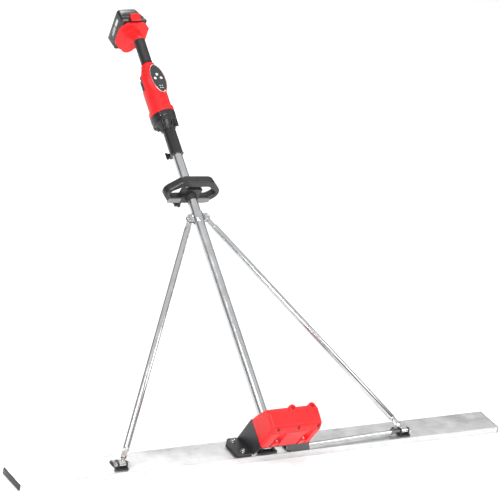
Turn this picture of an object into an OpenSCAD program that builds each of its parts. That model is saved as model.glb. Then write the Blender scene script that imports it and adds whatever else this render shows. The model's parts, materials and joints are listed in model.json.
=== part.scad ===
/* [Blade] */
// Length of the screed blade over its end caps
blade_len = 1500; // [1400:10:1600]
// Width of the blade, front to back
blade_w = 93; // [90:1:96]
// Height of the blade
blade_h = 18; // [18:1:20]
// Wall of the blade extrusion
blade_wall = 2; // [1.6:0.1:2.4]

/* [Leaning frame] */
// Angle of the pole from the vertical
lean = 54; // [52:0.5:56]
// Outer diameter of the pole
pole_d = 28; // [27:0.5:28.5]
// Wall of the pole tube
pole_wall = 1.5; // [1.2:0.1:1.8]
// Outer diameter of the brace tubes
brace_d = 18; // [16:0.5:20]
// Distance of each outer foot from the middle of the blade
foot_x = 442; // [430:1:460]
// Distance of the brace collar up the pole
collar_u = 671; // [660:1:680]

/* [Vibrator] */
// Near end of the red cover, across the blade
cover_x0 = -53; // [-54:0.5:-52]
// Far end of the red cover, across the blade
cover_x1 = 101; // [100:0.5:104]
// Wall of the red cover
cover_wall = 2.6; // [2:0.1:3]
// Diameter of the motor can
can_d = 54; // [50:1:54]

/* [Handle] */
// Distance of the loop handle up the pole
handle_u = 749; // [745:1:760]
// Turn of the loop handle round the pole
handle_roll = 7; // [0:1:10]
// Thickness of the loop handle along the pole
handle_t = 24; // [22:0.5:26]

/* [Control head] */
// Distance of the display panel up the pole
panel_u = 1093; // [1091:1:1095]
// Length of the display panel
panel_len = 88; // [86:1:90]
// Width of the display panel
panel_w = 40; // [36:1:42]
// Diameter of the hand grip
grip_d = 32; // [31:0.5:33]

/* [Battery] */
// Width of the battery pack
pack_w = 74; // [70:1:76]
// Travel of the battery pack off its rails
pack_travel = 60; // [40:1:70]

/* [Hidden] */
$fn = 48;

// Running clearance of a pin in its bore, on the radius
run = 0.1;
// Clearance of a screw in a drilled hole, on the radius
drill = 0.3;

// Leaning frame: distance of the pole axis above the blade origin, measured square to the pole
pole_v = 73;
pole_r = pole_d / 2;
pole_start = 34;
pole_end = 940;

// Hinge line of the three feet
hinge_y = -24;
hinge_z = 30;
pin_r = 4;
barrel_r = 7.5;
cheek_t = 4;
hinge_u = hinge_y * sin(lean) + hinge_z * cos(lean);
hinge_v = hinge_z * sin(lean) - hinge_y * cos(lean);

// Blade cells and the screws through its top wall
cap_t = 3;
cell_w = (blade_w - 4 * blade_wall) / 3;
cell_h = blade_h - 2 * blade_wall;
bracket_bolt_xy = [[-76, 24], [-76, -31], [76, 26], [76, -25]];
foot_screw_xy = [
    for (x = [-foot_x, foot_x]) for (dx = [-9, 9]) [x + dx, 2],
    for (dx = [-20, 20]) [dx, 7]];
bolt_r = 4;
screw_r = 2.5;

// Bracket: its inclined face carries the motor and the cover
sheet = 4;
face_v = 88;
base_v = face_v + sheet;
face_u0 = -25;
face_u1 = 60;
pad_t = 6;
flange_z = blade_h + pad_t;
flange_pts = [[cover_x0 + 2, -45], [cover_x0 + 2, 42], [-84, 42], [-99, 20], [-101, -30], [-101, -45]];
inner_flange_pts = [[62, -34], [cover_x1 - 2, -34], [cover_x1 - 2, 42], [62, 42]];

// Motor
motor_u = 26;
motor_v = 136;
motor_x0 = -19;
motor_x1 = 67;
shaft_r = 5;
bearing_r = 15;
bearing_t = 9;
weight_r = 26;
weight_t = 14;

// Cover
cover_v = base_v + 0.1;
cover_pts = [[-25, cover_v], [-21, 131], [-19, 160], [-9, 181], [34, 184], [46, 179], [53, 160], [58, 125],
    [60, cover_v]];
rail_v = 169;
end_plate_pts = [[-14, 104], [-12, 150], [-3, 172], [31, 175], [43, 152], [49, 110], [44, 101]];
flute_x = [-14, 70];
flute_r = 13;
flute_u = -25;
flute_floor = 113;
post_x = [-35, 28, 90];
post_u = -11;
rear_screw_x = [22, 83];
rear_screw_u = 41;
cover_top = 184;

// Braces
ear_x = 24;
ear_r = 12;
ear_gap = 2.8;
tang_t = 4;
collar_h = 30;
ear_z = collar_u * cos(lean) + pole_v * sin(lean);
ear_y = collar_u * sin(lean) - pole_v * cos(lean);
brace_start = 48;
brace_stop = 30;

// Stay rod
stay_r = 6;
stay_x0 = cover_x1;
stay_y0 = -38;
stay_x1 = 400;

// Handle: outline of the loop in its own plane, across and outward
handle_tilt = 16;
loop_pts = [[48, 56], [102, 8], [61, -30], [-61, -30], [-102, 8], [-48, 56]];
loop_gap_pts = [[44, 32], [82, 9], [58, -7], [-58, -7], [-82, 9], [-44, 32]];
loop_round = 14;
loop_gap_round = 7;
liner_r = 16;
cap_x = 26;
knob_x = -17;

// Control head
sleeve_u0 = 868;
sleeve_u1 = 950;
nose_u1 = 996;
body_u0 = 996;
body_u1 = 1152;
body_a = 30;
body_b = 37;
body_drop = 8;
body_len = 127;
waist_r = 19.5;
shell = 2.6;
grip_u1 = 1232;
panel_lift = 32;
boss_rim = 4.3;
boss_depth = 22;
panel_tilt = 5;
trigger_u0 = 1078;
trigger_u1 = 1123;
well_y = 5;
well_rim = 6;
switch_y = 28.6;
lug_x = 13.5;
trigger_pin_u = 1117;
trigger_pin_y = 33;
pack_u = 1240;
pack_tilt = 22;
plate_z = 30;
plate_t = 9;
pack_z = plate_z + plate_t + 10.4;

// Unit vector from p to q
function unit(p, q) = (q - p) / norm(q - p);

// Leaning frame: x across, y square to the pole and down, z up the pole
module lean_frame(u = 0, v = 0) {
    rotate([-lean, 0, 0]) translate([0, -v, u]) children();
}

module pole_frame(u = 0) {
    lean_frame(u, pole_v) children();
}

// Extrudes an outline given in [u, v] from x0 to x1
module uv_prism(x0, x1) {
    lean_frame() translate([x0, 0, 0]) rotate([180, -90, 0]) linear_extrude(x1 - x0) children();
}

// Extrudes an outline given in [y, z] from x0 to x1
module yz_prism(x0, x1) {
    translate([x0, 0, 0]) rotate([90, 0, 90]) linear_extrude(x1 - x0) children();
}

// Points its children's z axis from p to q
module along(p, q) {
    d = unit(p, q);
    translate(p) rotate([0, acos(d.z), atan2(d.y, d.x)]) children();
}

module tube(r_out, r_in, h) {
    difference() {
        cylinder(r = r_out, h = h);
        translate([0, 0, -1]) cylinder(r = r_in, h = h + 2);
    }
}

// Cylinder along x between two places
module x_rod(x0, x1, r, y = 0, z = 0) {
    translate([x0, y, z]) rotate([0, 90, 0]) cylinder(r = r, h = x1 - x0);
}

module rounded(r) {
    offset(r = r) offset(delta = -r) children();
}

// ---------------------------------------------------------------- blade

module screed_blade() color("silver") difference() {
    translate([cap_t - blade_len / 2, -blade_w / 2, 0]) cube([blade_len - 2 * cap_t, blade_w, blade_h]);
    for (k = [0 : 2]) {
        translate([-blade_len / 2, -blade_w / 2 + blade_wall + k * (cell_w + blade_wall), blade_wall])
            cube([blade_len, cell_w, cell_h]);
    }
    for (p = bracket_bolt_xy) translate([p.x, p.y, blade_h / 2]) cylinder(r = bolt_r + drill, h = blade_h);
    for (p = foot_screw_xy) translate([p.x, p.y, blade_h / 2]) cylinder(r = screw_r + drill, h = blade_h);
}

module blade_end_cap() {
    stub = 12;
    fit = 0.2;
    translate([0, -blade_w / 2, 0]) cube([cap_t, blade_w, blade_h]);
    for (k = [0 : 2]) {
        translate([cap_t, -blade_w / 2 + blade_wall + k * (cell_w + blade_wall) + fit, blade_wall + fit])
            cube([stub, cell_w - 2 * fit, cell_h - 2 * fit]);
    }
}

module blade_end_caps() color([0.12, 0.12, 0.13]) {
    translate([-blade_len / 2, 0, 0]) blade_end_cap();
    mirror([1, 0, 0]) translate([-blade_len / 2, 0, 0]) blade_end_cap();
}

// ---------------------------------------------------------------- bracket

// Side plate outline in [y, z]: foot on the flange, top edge along the inclined face
module side_plate_outline() {
    c = cos(lean);
    s = sin(lean);
    polygon([[-45, flange_z], [42, flange_z], [face_u1 * s - base_v * c, face_u1 * c + base_v * s],
        [face_u0 * s - base_v * c, face_u0 * c + base_v * s]]);
}

// Front skirt under the far half of the cover, from the inclined face down to the blade
module skirt() {
    top_y = face_u0 * sin(lean) - face_v * cos(lean);
    top_z = face_u0 * cos(lean) + face_v * sin(lean);
    drop_y = -46 - top_y;
    drop_z = blade_h + 1 - top_z;
    drop = norm([drop_y, drop_z]);
    translate([0, top_y, top_z]) rotate([atan2(drop_z, drop_y), 0, 0]) linear_extrude(3)
        difference() {
            polygon([[30, 0], [cover_x1, 0], [127, drop], [62, drop], [44, drop - 18]]);
            translate([56, drop - 12]) circle(r = 3.4);
        }
}

module bracket() color([0.2, 0.2, 0.21]) difference() {
    union() {
        uv_prism(cover_x0, cover_x1) polygon([[face_u0, face_v], [face_u1, face_v], [face_u1, base_v],
            [face_u0, base_v]]);
        yz_prism(cover_x0, cover_x0 + sheet) side_plate_outline();
        yz_prism(cover_x1 - sheet, cover_x1) side_plate_outline();
        translate([0, 0, flange_z]) linear_extrude(sheet) rounded(9) polygon(flange_pts);
        translate([0, 0, flange_z]) linear_extrude(sheet) polygon(inner_flange_pts);
        skirt();
    }
    for (p = bracket_bolt_xy) translate([p.x, p.y, flange_z - 1]) cylinder(r = bolt_r + drill, h = sheet + 2);
    cover_screw_places() translate([0, 0, -1]) cylinder(r = screw_r + drill, h = sheet + 2);
    lean_frame(motor_u, face_v) for (x = [0, 48]) for (z = [-18, 18])
        translate([x, 1, z]) rotate([90, 0, 0]) cylinder(r = screw_r + drill, h = sheet + 2);
}

module bracket_pads() color([0.08, 0.08, 0.08]) difference() {
    union() {
        translate([0, 0, blade_h]) linear_extrude(pad_t) rounded(9) polygon(flange_pts);
        translate([0, 0, blade_h]) linear_extrude(pad_t) polygon(inner_flange_pts);
    }
    for (p = bracket_bolt_xy) translate([p.x, p.y, blade_h - 1]) cylinder(r = bolt_r + drill, h = pad_t + 2);
}

module bracket_bolts() color("gainsboro") for (p = bracket_bolt_xy) translate([p.x, p.y, 0]) {
    translate([0, 0, flange_z + sheet]) cylinder(r = 8, h = 1.4);
    translate([0, 0, flange_z + sheet + 1.4]) difference() {
        cylinder(r = 6.6, h = 4.6);
        translate([0, 0, 1.6]) cylinder(r = 2.9, h = 4, $fn = 6);
    }
    translate([0, 0, 8]) cylinder(r = bolt_r, h = flange_z + sheet - 7);
}

module nut_barrel(r_in) {
    translate([0, 0, blade_wall + 5]) tube(r_in + 2.4, r_in + run, blade_h - 2 * blade_wall - 5);
}

module blade_nuts() color("gray") {
    for (p = bracket_bolt_xy) translate([p.x, p.y, 0]) nut_barrel(bolt_r);
    for (p = foot_screw_xy) translate([p.x, p.y, 0]) nut_barrel(screw_r);
}

// ---------------------------------------------------------------- feet

// One ear of a foot: a round lug on the hinge line with a straight foot
module ear(x0, x1, r) {
    yz_prism(x0, x1) union() {
        translate([hinge_y, hinge_z]) circle(r = r);
        translate([hinge_y - r, blade_h + 1]) square([2 * r, hinge_z - blade_h - 1]);
    }
}

// Foot with two ears a distance 2 * gap apart
module foot(gap, ear_rad, base_pts) {
    difference() {
        union() {
            ear(gap, gap + cheek_t, ear_rad);
            ear(-gap - cheek_t, -gap, ear_rad);
            translate([0, 0, blade_h]) linear_extrude(sheet) rounded(4) polygon(base_pts);
        }
        x_rod(-40, 40, pin_r + run, hinge_y, hinge_z);
        for (p = foot_screw_xy) for (x = [0, foot_x, -foot_x])
            translate([p.x - x, p.y, blade_h - 1]) cylinder(r = screw_r + drill, h = 8);
    }
}

outer_gap = 10.4;
centre_gap = 15.4;
outer_base = [[-17, -38], [17, -38], [17, 12], [-17, 12]];
centre_base = [[-29, -40], [29, -40], [29, 22], [-29, 22]];

module centre_foot() color([0.15, 0.15, 0.16]) foot(centre_gap, 10, centre_base);

module outer_feet() color([0.15, 0.15, 0.16]) for (x = [-foot_x, foot_x]) translate([x, 0, 0])
    foot(outer_gap, 8.6, outer_base);

module foot_screws() color("gainsboro") for (p = foot_screw_xy) translate([p.x, p.y, 0]) {
    translate([0, 0, blade_h + sheet]) difference() {
        cylinder(r = 4.6, h = 3);
        translate([0, 0, 1.2]) cylinder(r = 1.8, h = 3, $fn = 6);
    }
    translate([0, 0, 8]) cylinder(r = screw_r, h = blade_h + sheet - 7.5);
}

// Bolt along x through both ears of a foot
module pivot_bolt(gap) {
    out = gap + cheek_t;
    x_rod(-out - 0.5, out + 9, pin_r, hinge_y, hinge_z);
    translate([-out - 5.5, hinge_y, hinge_z]) rotate([0, 90, 0]) cylinder(r = 7.2, h = 5.4, $fn = 6);
}

module pivot_nut(x) {
    translate([x, hinge_y, hinge_z]) rotate([0, 90, 0]) difference() {
        cylinder(r = 7.2, h = 6, $fn = 6);
        translate([0, 0, -1]) cylinder(r = pin_r + run, h = 8);
    }
}

module pivot_bolts() color("gainsboro") {
    pivot_bolt(centre_gap);
    translate([-foot_x, 0, 0]) pivot_bolt(outer_gap);
    pivot_nut(centre_gap + cheek_t + 0.1);
    pivot_nut(-foot_x + outer_gap + cheek_t + 0.1);
    pivot_nut(foot_x + outer_gap + cheek_t + 0.1);
}

// ---------------------------------------------------------------- stay rod

stay_a = [stay_x0, stay_y0, hinge_z];
stay_b = [stay_x1, hinge_y, hinge_z];

module stay_rod() color("silver") difference() {
    along(stay_a, stay_b) tube(stay_r, stay_r - 1.4, norm(stay_b - stay_a));
    translate([stay_x0 - 10, stay_y0 - 20, 0]) cube([10, 40, 60]);
}

// Threaded end of the stay rod: it passes through the right foot as its pivot pin
module stay_rod_end() color("dimgray") {
    along(stay_b, stay_a) translate([0, 0, -3.1]) {
        cylinder(r = stay_r + 2.4, h = 3);
        cylinder(r = stay_r - 1.5, h = 14);
    }
    x_rod(stay_x1, foot_x + outer_gap + cheek_t + 9, pin_r, hinge_y, hinge_z);
    translate([stay_x1 + 5, hinge_y, hinge_z]) rotate([0, 90, 0]) cylinder(r = 7.5, h = 6, $fn = 6);
}

// ---------------------------------------------------------------- motor

module motor_frame() {
    lean_frame(motor_u, motor_v) children();
}

module motor_cradle() color("gray") difference() {
    motor_frame() translate([-12, 0, -24]) cube([72, motor_v - base_v, 48]);
    motor_frame() x_rod(-20, 70, can_d / 2 + 0.05);
    lean_frame(motor_u, base_v) for (x = [0, 48]) for (z = [-18, 18])
        translate([x, 1, z]) rotate([90, 0, 0]) cylinder(r = screw_r + drill, h = 50);
}

module motor_can() color([0.35, 0.36, 0.38]) motor_frame() translate([motor_x0 + 6, 0, 0]) rotate([0, 90, 0])
    tube(can_d / 2, can_d / 2 - 2, motor_x1 - motor_x0 - 12);

// Bell that closes one end of the can and holds a bearing
module end_bell() {
    difference() {
        union() {
            cylinder(r = can_d / 2, h = 6);
            cylinder(r = can_d / 2 - 2.1, h = 10);
            cylinder(r = bearing_r + 4, h = 14);
        }
        translate([0, 0, -1]) cylinder(r = shaft_r + 2, h = 20);
        translate([0, 0, 4]) cylinder(r = bearing_r, h = 20);
    }
}

module motor_end_bells() color("lightgray") motor_frame() {
    translate([motor_x0, 0, 0]) rotate([0, 90, 0]) end_bell();
    translate([motor_x1, 0, 0]) rotate([0, -90, 0]) end_bell();
}

module stator() color([0.7, 0.4, 0.2]) motor_frame() translate([motor_x0 + 22, 0, 0]) rotate([0, 90, 0])
    tube(can_d / 2 - 2.1, 18, motor_x1 - motor_x0 - 44);

module rotor() color("silver") motor_frame() {
    x_rod(motor_x0 - 28, motor_x1 + 28, shaft_r);
    x_rod(motor_x0 + 24, motor_x1 - 24, 17.5);
}

module rotor_bearings() color("gainsboro") motor_frame() {
    for (x = [motor_x0 + 4.1, motor_x1 - 4.1 - bearing_t]) translate([x, 0, 0]) rotate([0, 90, 0])
        tube(bearing_r - 0.05, shaft_r + 0.05, bearing_t);
}

module eccentric_weights() color("dimgray") motor_frame() {
    for (x = [motor_x0 - 25, motor_x1 + 25 - weight_t]) translate([x, 0, 0]) rotate([0, 90, 0]) difference() {
        union() {
            difference() {
                cylinder(r = weight_r, h = weight_t);
                translate([-weight_r - 1, -2 * weight_r, -1])
                    cube([2 * weight_r + 2, 2 * weight_r, weight_t + 2]);
            }
            cylinder(r = 11, h = weight_t);
        }
        translate([0, 0, -1]) cylinder(r = shaft_r + 0.02, h = weight_t + 2);
    }
}

// ---------------------------------------------------------------- cover

// Puts its children where a long cover screw stands, z axis square to the inclined face
module cover_screw_places() {
    for (x = post_x) lean_frame(post_u, face_v) translate([x, 0, 0]) rotate([90, 0, 0]) children();
    for (x = flute_x) lean_frame(flute_u + 7, face_v) translate([x, 0, 0]) rotate([90, 0, 0]) children();
}

// Cylinder square to the inclined face
module v_rod(x, u, v0, v1, r) {
    lean_frame(u, v0) translate([x, 0, 0]) rotate([90, 0, 0]) cylinder(r = r, h = v1 - v0);
}

module flute(x, r) {
    v_rod(x, flute_u, flute_floor, 158, r);
    lean_frame(flute_u, 158) translate([x, 0, 0]) sphere(r = r);
}

module vibrator_cover() color([0.85, 0.12, 0.12]) difference() {
    union() {
        difference() {
            uv_prism(cover_x0, cover_x1) rounded(5) polygon(cover_pts);
            uv_prism(cover_x0 + 4, cover_x1 - 4) difference() {
                offset(delta = -cover_wall) rounded(5) polygon(cover_pts);
            }
            uv_prism(cover_x0 + 4, cover_x1 - 4) polygon([[-22, base_v - 1], [57, base_v - 1], [57, 100],
                [-22, 100]]);
        }
        intersection() {
            union() {
                for (x = flute_x) {
                    flute(x, flute_r + cover_wall);
                    v_rod(x, flute_u + 7, cover_v, flute_floor, 8);
                }
                for (x = post_x) v_rod(x, post_u, cover_v, cover_top, 5.5);
                for (x = rear_screw_x) v_rod(x, rear_screw_u, rail_v + 0.2, cover_top, 5.5);
            }
            uv_prism(cover_x0, cover_x1) polygon(cover_pts);
        }
        for (x = rear_screw_x) v_rod(x, rear_screw_u, cover_top - 14, cover_top + 3, 11);
    }
    for (x = flute_x) flute(x, flute_r);
    for (x = post_x) v_rod(x, post_u, 166, cover_top + 10, 4.2);
    for (x = rear_screw_x) v_rod(x, rear_screw_u, 176, cover_top + 10, 4.2);
    cover_screw_places() cylinder(r = screw_r + drill, h = 120);
    for (x = rear_screw_x) v_rod(x, rear_screw_u, rail_v - 5, 180, screw_r + drill);
    uv_prism(cover_x0 - 1, cover_x0 + 2) polygon(end_plate_pts);
    uv_prism(cover_x1 - 2, cover_x1 + 1) polygon(end_plate_pts);
}

// Hoop over the motor that the rear cover screws pull down on
module cover_rail() color("gray") difference() {
    uv_prism(cover_x0 + 4.6, cover_x1 - 4.6)
        polygon([[36, base_v], [46, base_v], [46, rail_v], [36, rail_v]]);
    uv_prism(cover_x0 + 6.6, cover_x1 - 6.6)
        polygon([[30, base_v - 1], [50, base_v - 1], [50, rail_v - 3], [30, rail_v - 3]]);
    for (x = rear_screw_x) v_rod(x, rear_screw_u, rail_v - 5, rail_v + 5, screw_r + drill);
}

module cover_end_plates() color([0.8, 0.1, 0.1]) {
    uv_prism(cover_x0 + 0.8, cover_x0 + 2) offset(delta = -0.3) polygon(end_plate_pts);
    uv_prism(cover_x1 - 2, cover_x1 - 0.8) offset(delta = -0.3) polygon(end_plate_pts);
}

// Cover screw with its head at height v and its tip at height tip
module cover_screw(x, u, v, tip) {
    v_rod(x, u, tip, v, screw_r);
    v_rod(x, u, v, v + 3, 4);
}

module cover_screws() color("gainsboro") {
    for (x = post_x) cover_screw(x, post_u, 166, face_v - 4);
    for (x = rear_screw_x) cover_screw(x, rear_screw_u, 176, rail_v - 6);
    for (x = flute_x) cover_screw(x, flute_u + 7, flute_floor, face_v - 4);
}

// ---------------------------------------------------------------- pole and braces

module pole_foot() color([0.3, 0.31, 0.33]) difference() {
    union() {
        x_rod(-15, 15, barrel_r, hinge_y, hinge_z);
        uv_prism(-10, 10)
            polygon([[hinge_u - 8, hinge_v + 4], [hinge_u + 6, hinge_v - 6], [pole_start - 4, 59],
                [pole_start - 4, 86], [22, 86]]);
        pole_frame(pole_start - 6) cylinder(r = pole_r, h = 6);
        pole_frame(pole_start) cylinder(r = pole_r - pole_wall - 0.1, h = 28);
    }
    x_rod(-30, 30, pin_r + run, hinge_y, hinge_z);
}

module pole() color("silver") pole_frame(pole_start) tube(pole_r, pole_r - pole_wall, pole_end - pole_start);

// Half of the brace collar, on the upper side of the pole
module collar_half() {
    difference() {
        union() {
            cylinder(r = pole_r + 3, h = collar_h, center = true);
            rotate([90, 0, 0]) translate([0, 0, ear_gap]) linear_extrude(3) for (x = [-ear_x, ear_x]) {
                translate([x, 0]) circle(r = ear_r);
                translate([x * 0.35 - ear_r, -ear_r]) square([2 * ear_r, 2 * ear_r]);
            }
        }
        cylinder(r = pole_r + 0.05, h = 2 * collar_h, center = true);
        translate([-50, -ear_gap, -50]) cube([100, 100, 100]);
        for (x = [-ear_x, ear_x]) translate([x, 0, 0]) rotate([90, 0, 0])
            cylinder(r = bolt_r + drill, h = 20);
    }
}

module collar_halves() color("silver") pole_frame(collar_u) {
    collar_half();
    rotate([0, 0, 180]) collar_half();
}

module collar_bolts() color("gainsboro") pole_frame(collar_u) for (x = [-ear_x, ear_x]) {
    translate([x, 12, 0]) rotate([90, 0, 0]) cylinder(r = bolt_r, h = 20);
    translate([x, -ear_gap - 3, 0]) rotate([90, 0, 0]) difference() {
        cylinder(r = 7.2, h = 5, $fn = 6);
        translate([0, 0, 3.6]) cylinder(r = 3.4, h = 3);
    }
    translate([x, ear_gap + 9.1, 0]) rotate([90, 0, 0]) difference() {
        cylinder(r = 7.2, h = 6, $fn = 6);
        translate([0, 0, -1]) cylinder(r = bolt_r + run, h = 8);
    }
}

function brace_foot(side) = [side * foot_x, hinge_y, hinge_z];
function brace_top(side) = [side * ear_x, ear_y, ear_z];

// Turn about the brace that lays its flat tang in the plane of the collar ears
function top_roll(side) = let (
    d = unit(brace_foot(side), brace_top(side)), b = acos(d.z), c = atan2(d.y, d.x),
    n = [0, -cos(lean), sin(lean)])
    atan2(n * [-sin(c), cos(c), 0], n * [cos(b) * cos(c), cos(b) * sin(c), -sin(b)]);

// Brace tube with a flattened top end bolted between the collar ears
module brace(side) {
    reach = norm(brace_top(side) - brace_foot(side));
    difference() {
        union() {
            along(brace_foot(side), brace_top(side)) {
                translate([0, 0, brace_start])
                    tube(brace_d / 2, brace_d / 2 - 1.5, reach - brace_start - brace_stop);
                translate([0, 0, reach - brace_stop - 5]) cylinder(r = brace_d / 2 - 0.5, h = 5);
                rotate([0, 0, top_roll(side)]) translate([-tang_t / 2, -8, reach - brace_stop - 5])
                    cube([tang_t, 16, brace_stop - 6]);
            }
            pole_frame(collar_u) translate([side * ear_x, tang_t / 2, 0]) rotate([90, 0, 0])
                cylinder(r = 9.4, h = tang_t);
        }
        pole_frame(collar_u) translate([side * ear_x, 10, 0]) rotate([90, 0, 0])
            cylinder(r = bolt_r + drill, h = 20);
    }
}

module brace_left() color("silver") brace(-1);

module brace_right() color("silver") brace(1);

// Flat tang, lock nut, threaded rod and eye at the foot of a brace
module brace_rod_end(side) {
    difference() {
        union() {
            translate([side * foot_x, 0, 0]) x_rod(-10, 10, barrel_r, hinge_y, hinge_z);
            along(brace_foot(side), brace_top(side)) {
                cylinder(r = 4, h = 24);
                translate([0, 0, 18]) cylinder(r = 8, h = 7, $fn = 6);
                rotate([0, 0, -20 * side]) translate([-2.5, -8, 22]) cube([5, 16, brace_start - 23]);
                translate([0, 0, brace_start - 2]) cylinder(r = brace_d / 2, h = 1.9);
                translate([0, 0, brace_start - 1]) cylinder(r = brace_d / 2 - 1.6, h = 20);
            }
        }
        translate([side * foot_x, 0, 0]) x_rod(-20, 20, pin_r + run, hinge_y, hinge_z);
    }
}

module brace_rod_ends() color("gainsboro") {
    brace_rod_end(-1);
    brace_rod_end(1);
}

// ---------------------------------------------------------------- loop handle

// Handle frame: x across, -y outward in the plane of the loop, z square to the loop
module handle_frame() {
    pole_frame(handle_u) rotate([0, 0, handle_roll]) rotate([-handle_tilt, 0, 0]) children();
}

// Outline with rounded corners, from points given across and outward
module loop_outline(pts, r) {
    rounded(r) polygon([for (p = pts) [p.x, -p.y]]);
}

module handle_liner() color([0.1, 0.1, 0.1]) pole_frame(handle_u - 24) tube(liner_r, pole_r + 0.05, 48);

module loop_handle() color([0.16, 0.16, 0.17]) difference() {
    handle_frame() union() {
        linear_extrude(handle_t, center = true) difference() {
            loop_outline(loop_pts, loop_round);
            loop_outline(loop_gap_pts, loop_gap_round);
        }
        translate([-cap_x, 0, -handle_t / 2]) cube([2 * cap_x, 20, handle_t]);
    }
    pole_frame(handle_u - 60) cylinder(r = liner_r + 0.1, h = 120);
    for (x = [knob_x, -knob_x]) handle_frame() translate([x * 1.3, 60, 0]) rotate([90, 0, 0])
        cylinder(r = 3.3, h = 80);
    handle_pad_cuts(0);
}

// Shallow recesses for the grey pads on the lower bar
module handle_pad_cuts(gap) {
    handle_frame() for (s = [-1, 1]) translate([s * 49, 18.5, -handle_t / 2 - 1]) linear_extrude(3 - gap)
        square([44 - 2 * gap, 17 - 2 * gap], center = true);
}

module handle_pads() color("gray") handle_frame() for (s = [-1, 1])
    translate([s * 49, 18.5, -handle_t / 2 + 0.2]) linear_extrude(1.8) square([43, 16], center = true);

// Cap that closes the handle clamp over the pole
module handle_cap() color([0.14, 0.14, 0.15]) difference() {
    handle_frame() translate([-cap_x, -24, -handle_t / 2]) cube([2 * cap_x, 23.6, handle_t]);
    pole_frame(handle_u - 60) cylinder(r = liner_r + 0.1, h = 120);
    for (x = [knob_x, -knob_x]) handle_frame() translate([x * 1.3, 60, 0]) rotate([90, 0, 0])
        cylinder(r = 3.3, h = 100);
}

module clamp_bolt() color("gainsboro") handle_frame() for (x = [knob_x, -knob_x]) translate([x * 1.3, 0, 0]) {
    translate([0, 33, 0]) rotate([90, 0, 0]) cylinder(r = 3, h = 58);
    translate([0, -24, 0]) rotate([90, 0, 0]) cylinder(r = 5.5, h = 4, $fn = 6);
}

// Knob that tightens the handle clamp: a lobed head on a round neck
module clamp_knob() color([0.08, 0.08, 0.08]) handle_frame()
    translate([knob_x * 1.3, 30.3, 0]) rotate([-90, 0, 0]) difference() {
        union() {
            cylinder(r = 7, h = 8);
            translate([0, 0, 6]) linear_extrude(10) for (k = [0 : 4]) rotate(72 * k) {
                translate([9, 0]) circle(r = 4.5);
                translate([0, -4.5]) square([9, 9]);
            }
        }
        translate([0, 0, -1]) cylinder(r = 3.1, h = 12);
    }

// ---------------------------------------------------------------- control head

module coupling_sleeve() color([0.07, 0.07, 0.07]) difference() {
    union() {
        pole_frame(sleeve_u0) cylinder(r = 18.2, h = sleeve_u1 - sleeve_u0);
        pole_frame(sleeve_u0) cylinder(r1 = 19.5, r2 = 18.2, h = 6);
        pole_frame(sleeve_u0 + 2) translate([-7, 0, 0]) cube([14, 30, 16]);
    }
    pole_frame(sleeve_u0 - 1) cylinder(r = pole_r + 0.08, h = 200);
    pole_frame(sleeve_u0 + 10) translate([-20, 24.5, 0]) rotate([0, 90, 0]) cylinder(r = 3.1, h = 40);
    pole_frame(sleeve_u0 + 1) translate([-1, 5, -5]) cube([2, 40, 40]);
}

module sleeve_knob() color([0.05, 0.05, 0.05]) pole_frame(sleeve_u0 + 10) translate([0, 24.5, 0]) {
    translate([-16, 0, 0]) rotate([0, 90, 0]) cylinder(r = 3, h = 28);
    translate([-16, 0, 0]) rotate([0, 90, 0]) cylinder(r = 7.5, h = 8);
    translate([-20, -1.5, -10]) cube([6, 3, 20]);
}

// Elliptical column with half axes a across and b square to it
module oval(a, b, h) {
    scale([a / b, 1, 1]) cylinder(r = b, h = h);
}

// Puts its children on the middle line of the control body
module body_frame(u) {
    pole_frame(u) translate([0, body_drop, 0]) children();
}

module nose_cone() color([0.1, 0.1, 0.1]) difference() {
    union() {
        body_frame(sleeve_u1 + 18) oval(33, 40, 14);
        body_frame(sleeve_u1 + 31) oval(34, 41, nose_u1 - sleeve_u1 - 31.1);
        pole_frame(sleeve_u1 - 4) translate([0, body_drop / 4, 0]) cylinder(r1 = 21, r2 = 31, h = 24);
        for (k = [0 : 5]) pole_frame(sleeve_u1) rotate(k * 60 + 30) translate([18, -1.5, 0])
            cube([13, 3, 24]);
    }
    pole_frame(sleeve_u0) cylinder(r = pole_r + 0.08, h = sleeve_u1 + 17 - sleeve_u0);
    pole_frame(sleeve_u0) cylinder(r = 18.3, h = sleeve_u1 - sleeve_u0 + 0.1);
    pole_frame(sleeve_u1 + 13) cylinder(r = 22, h = 60);
    nose_screw_places() cylinder(r = 3.6, h = 40, center = true);
}

module nose_screw_places() {
    for (x = [-22, 22]) for (y = [-18, 30]) pole_frame(nose_u1) translate([x, y, 0]) children();
}

module nose_screws() color("gainsboro") nose_screw_places() {
    translate([0, 0, -14]) cylinder(r = 3.4, h = 3);
    translate([0, 0, -11.5]) cylinder(r = 1.8, h = 22);
}

// Outside of the control body
module body_outer() {
    body_frame(body_u0) oval(34, 41, 15);
    body_frame(body_u0) oval(body_a, body_b, body_len);
    pole_frame(body_u0 + body_len - 2) translate([0, body_drop / 2, 0]) cylinder(r1 = 28.5, r2 = 21, h = 19);
    pole_frame(body_u0 + body_len + 14) cylinder(r = waist_r, h = body_u1 - body_u0 - body_len - 14);
    panel_frame() translate([0, 0, -boss_depth])
        oval(panel_w / 2 + boss_rim, panel_len / 2 + boss_rim, boss_depth);
}

// Room inside the control body for the electronics
module body_room() {
    difference() {
        body_frame(body_u0 + shell) oval(body_a - shell, body_b - shell, body_len - 12);
        pole_frame(trigger_u0 - shell) translate([-50, well_y - shell, 0])
            cube([100, 60, trigger_u1 - trigger_u0 + 2 * shell]);
    }
    panel_frame() translate([0, 0, -20]) oval(panel_w / 2 - 1, panel_len / 2 - 6, 15);
}

// Panel frame: x across, y up the panel, z square to it
module panel_frame() {
    pole_frame(panel_u) translate([0, -panel_lift, 0]) rotate([90 - panel_tilt, 0, 0]) children();
}

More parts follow.
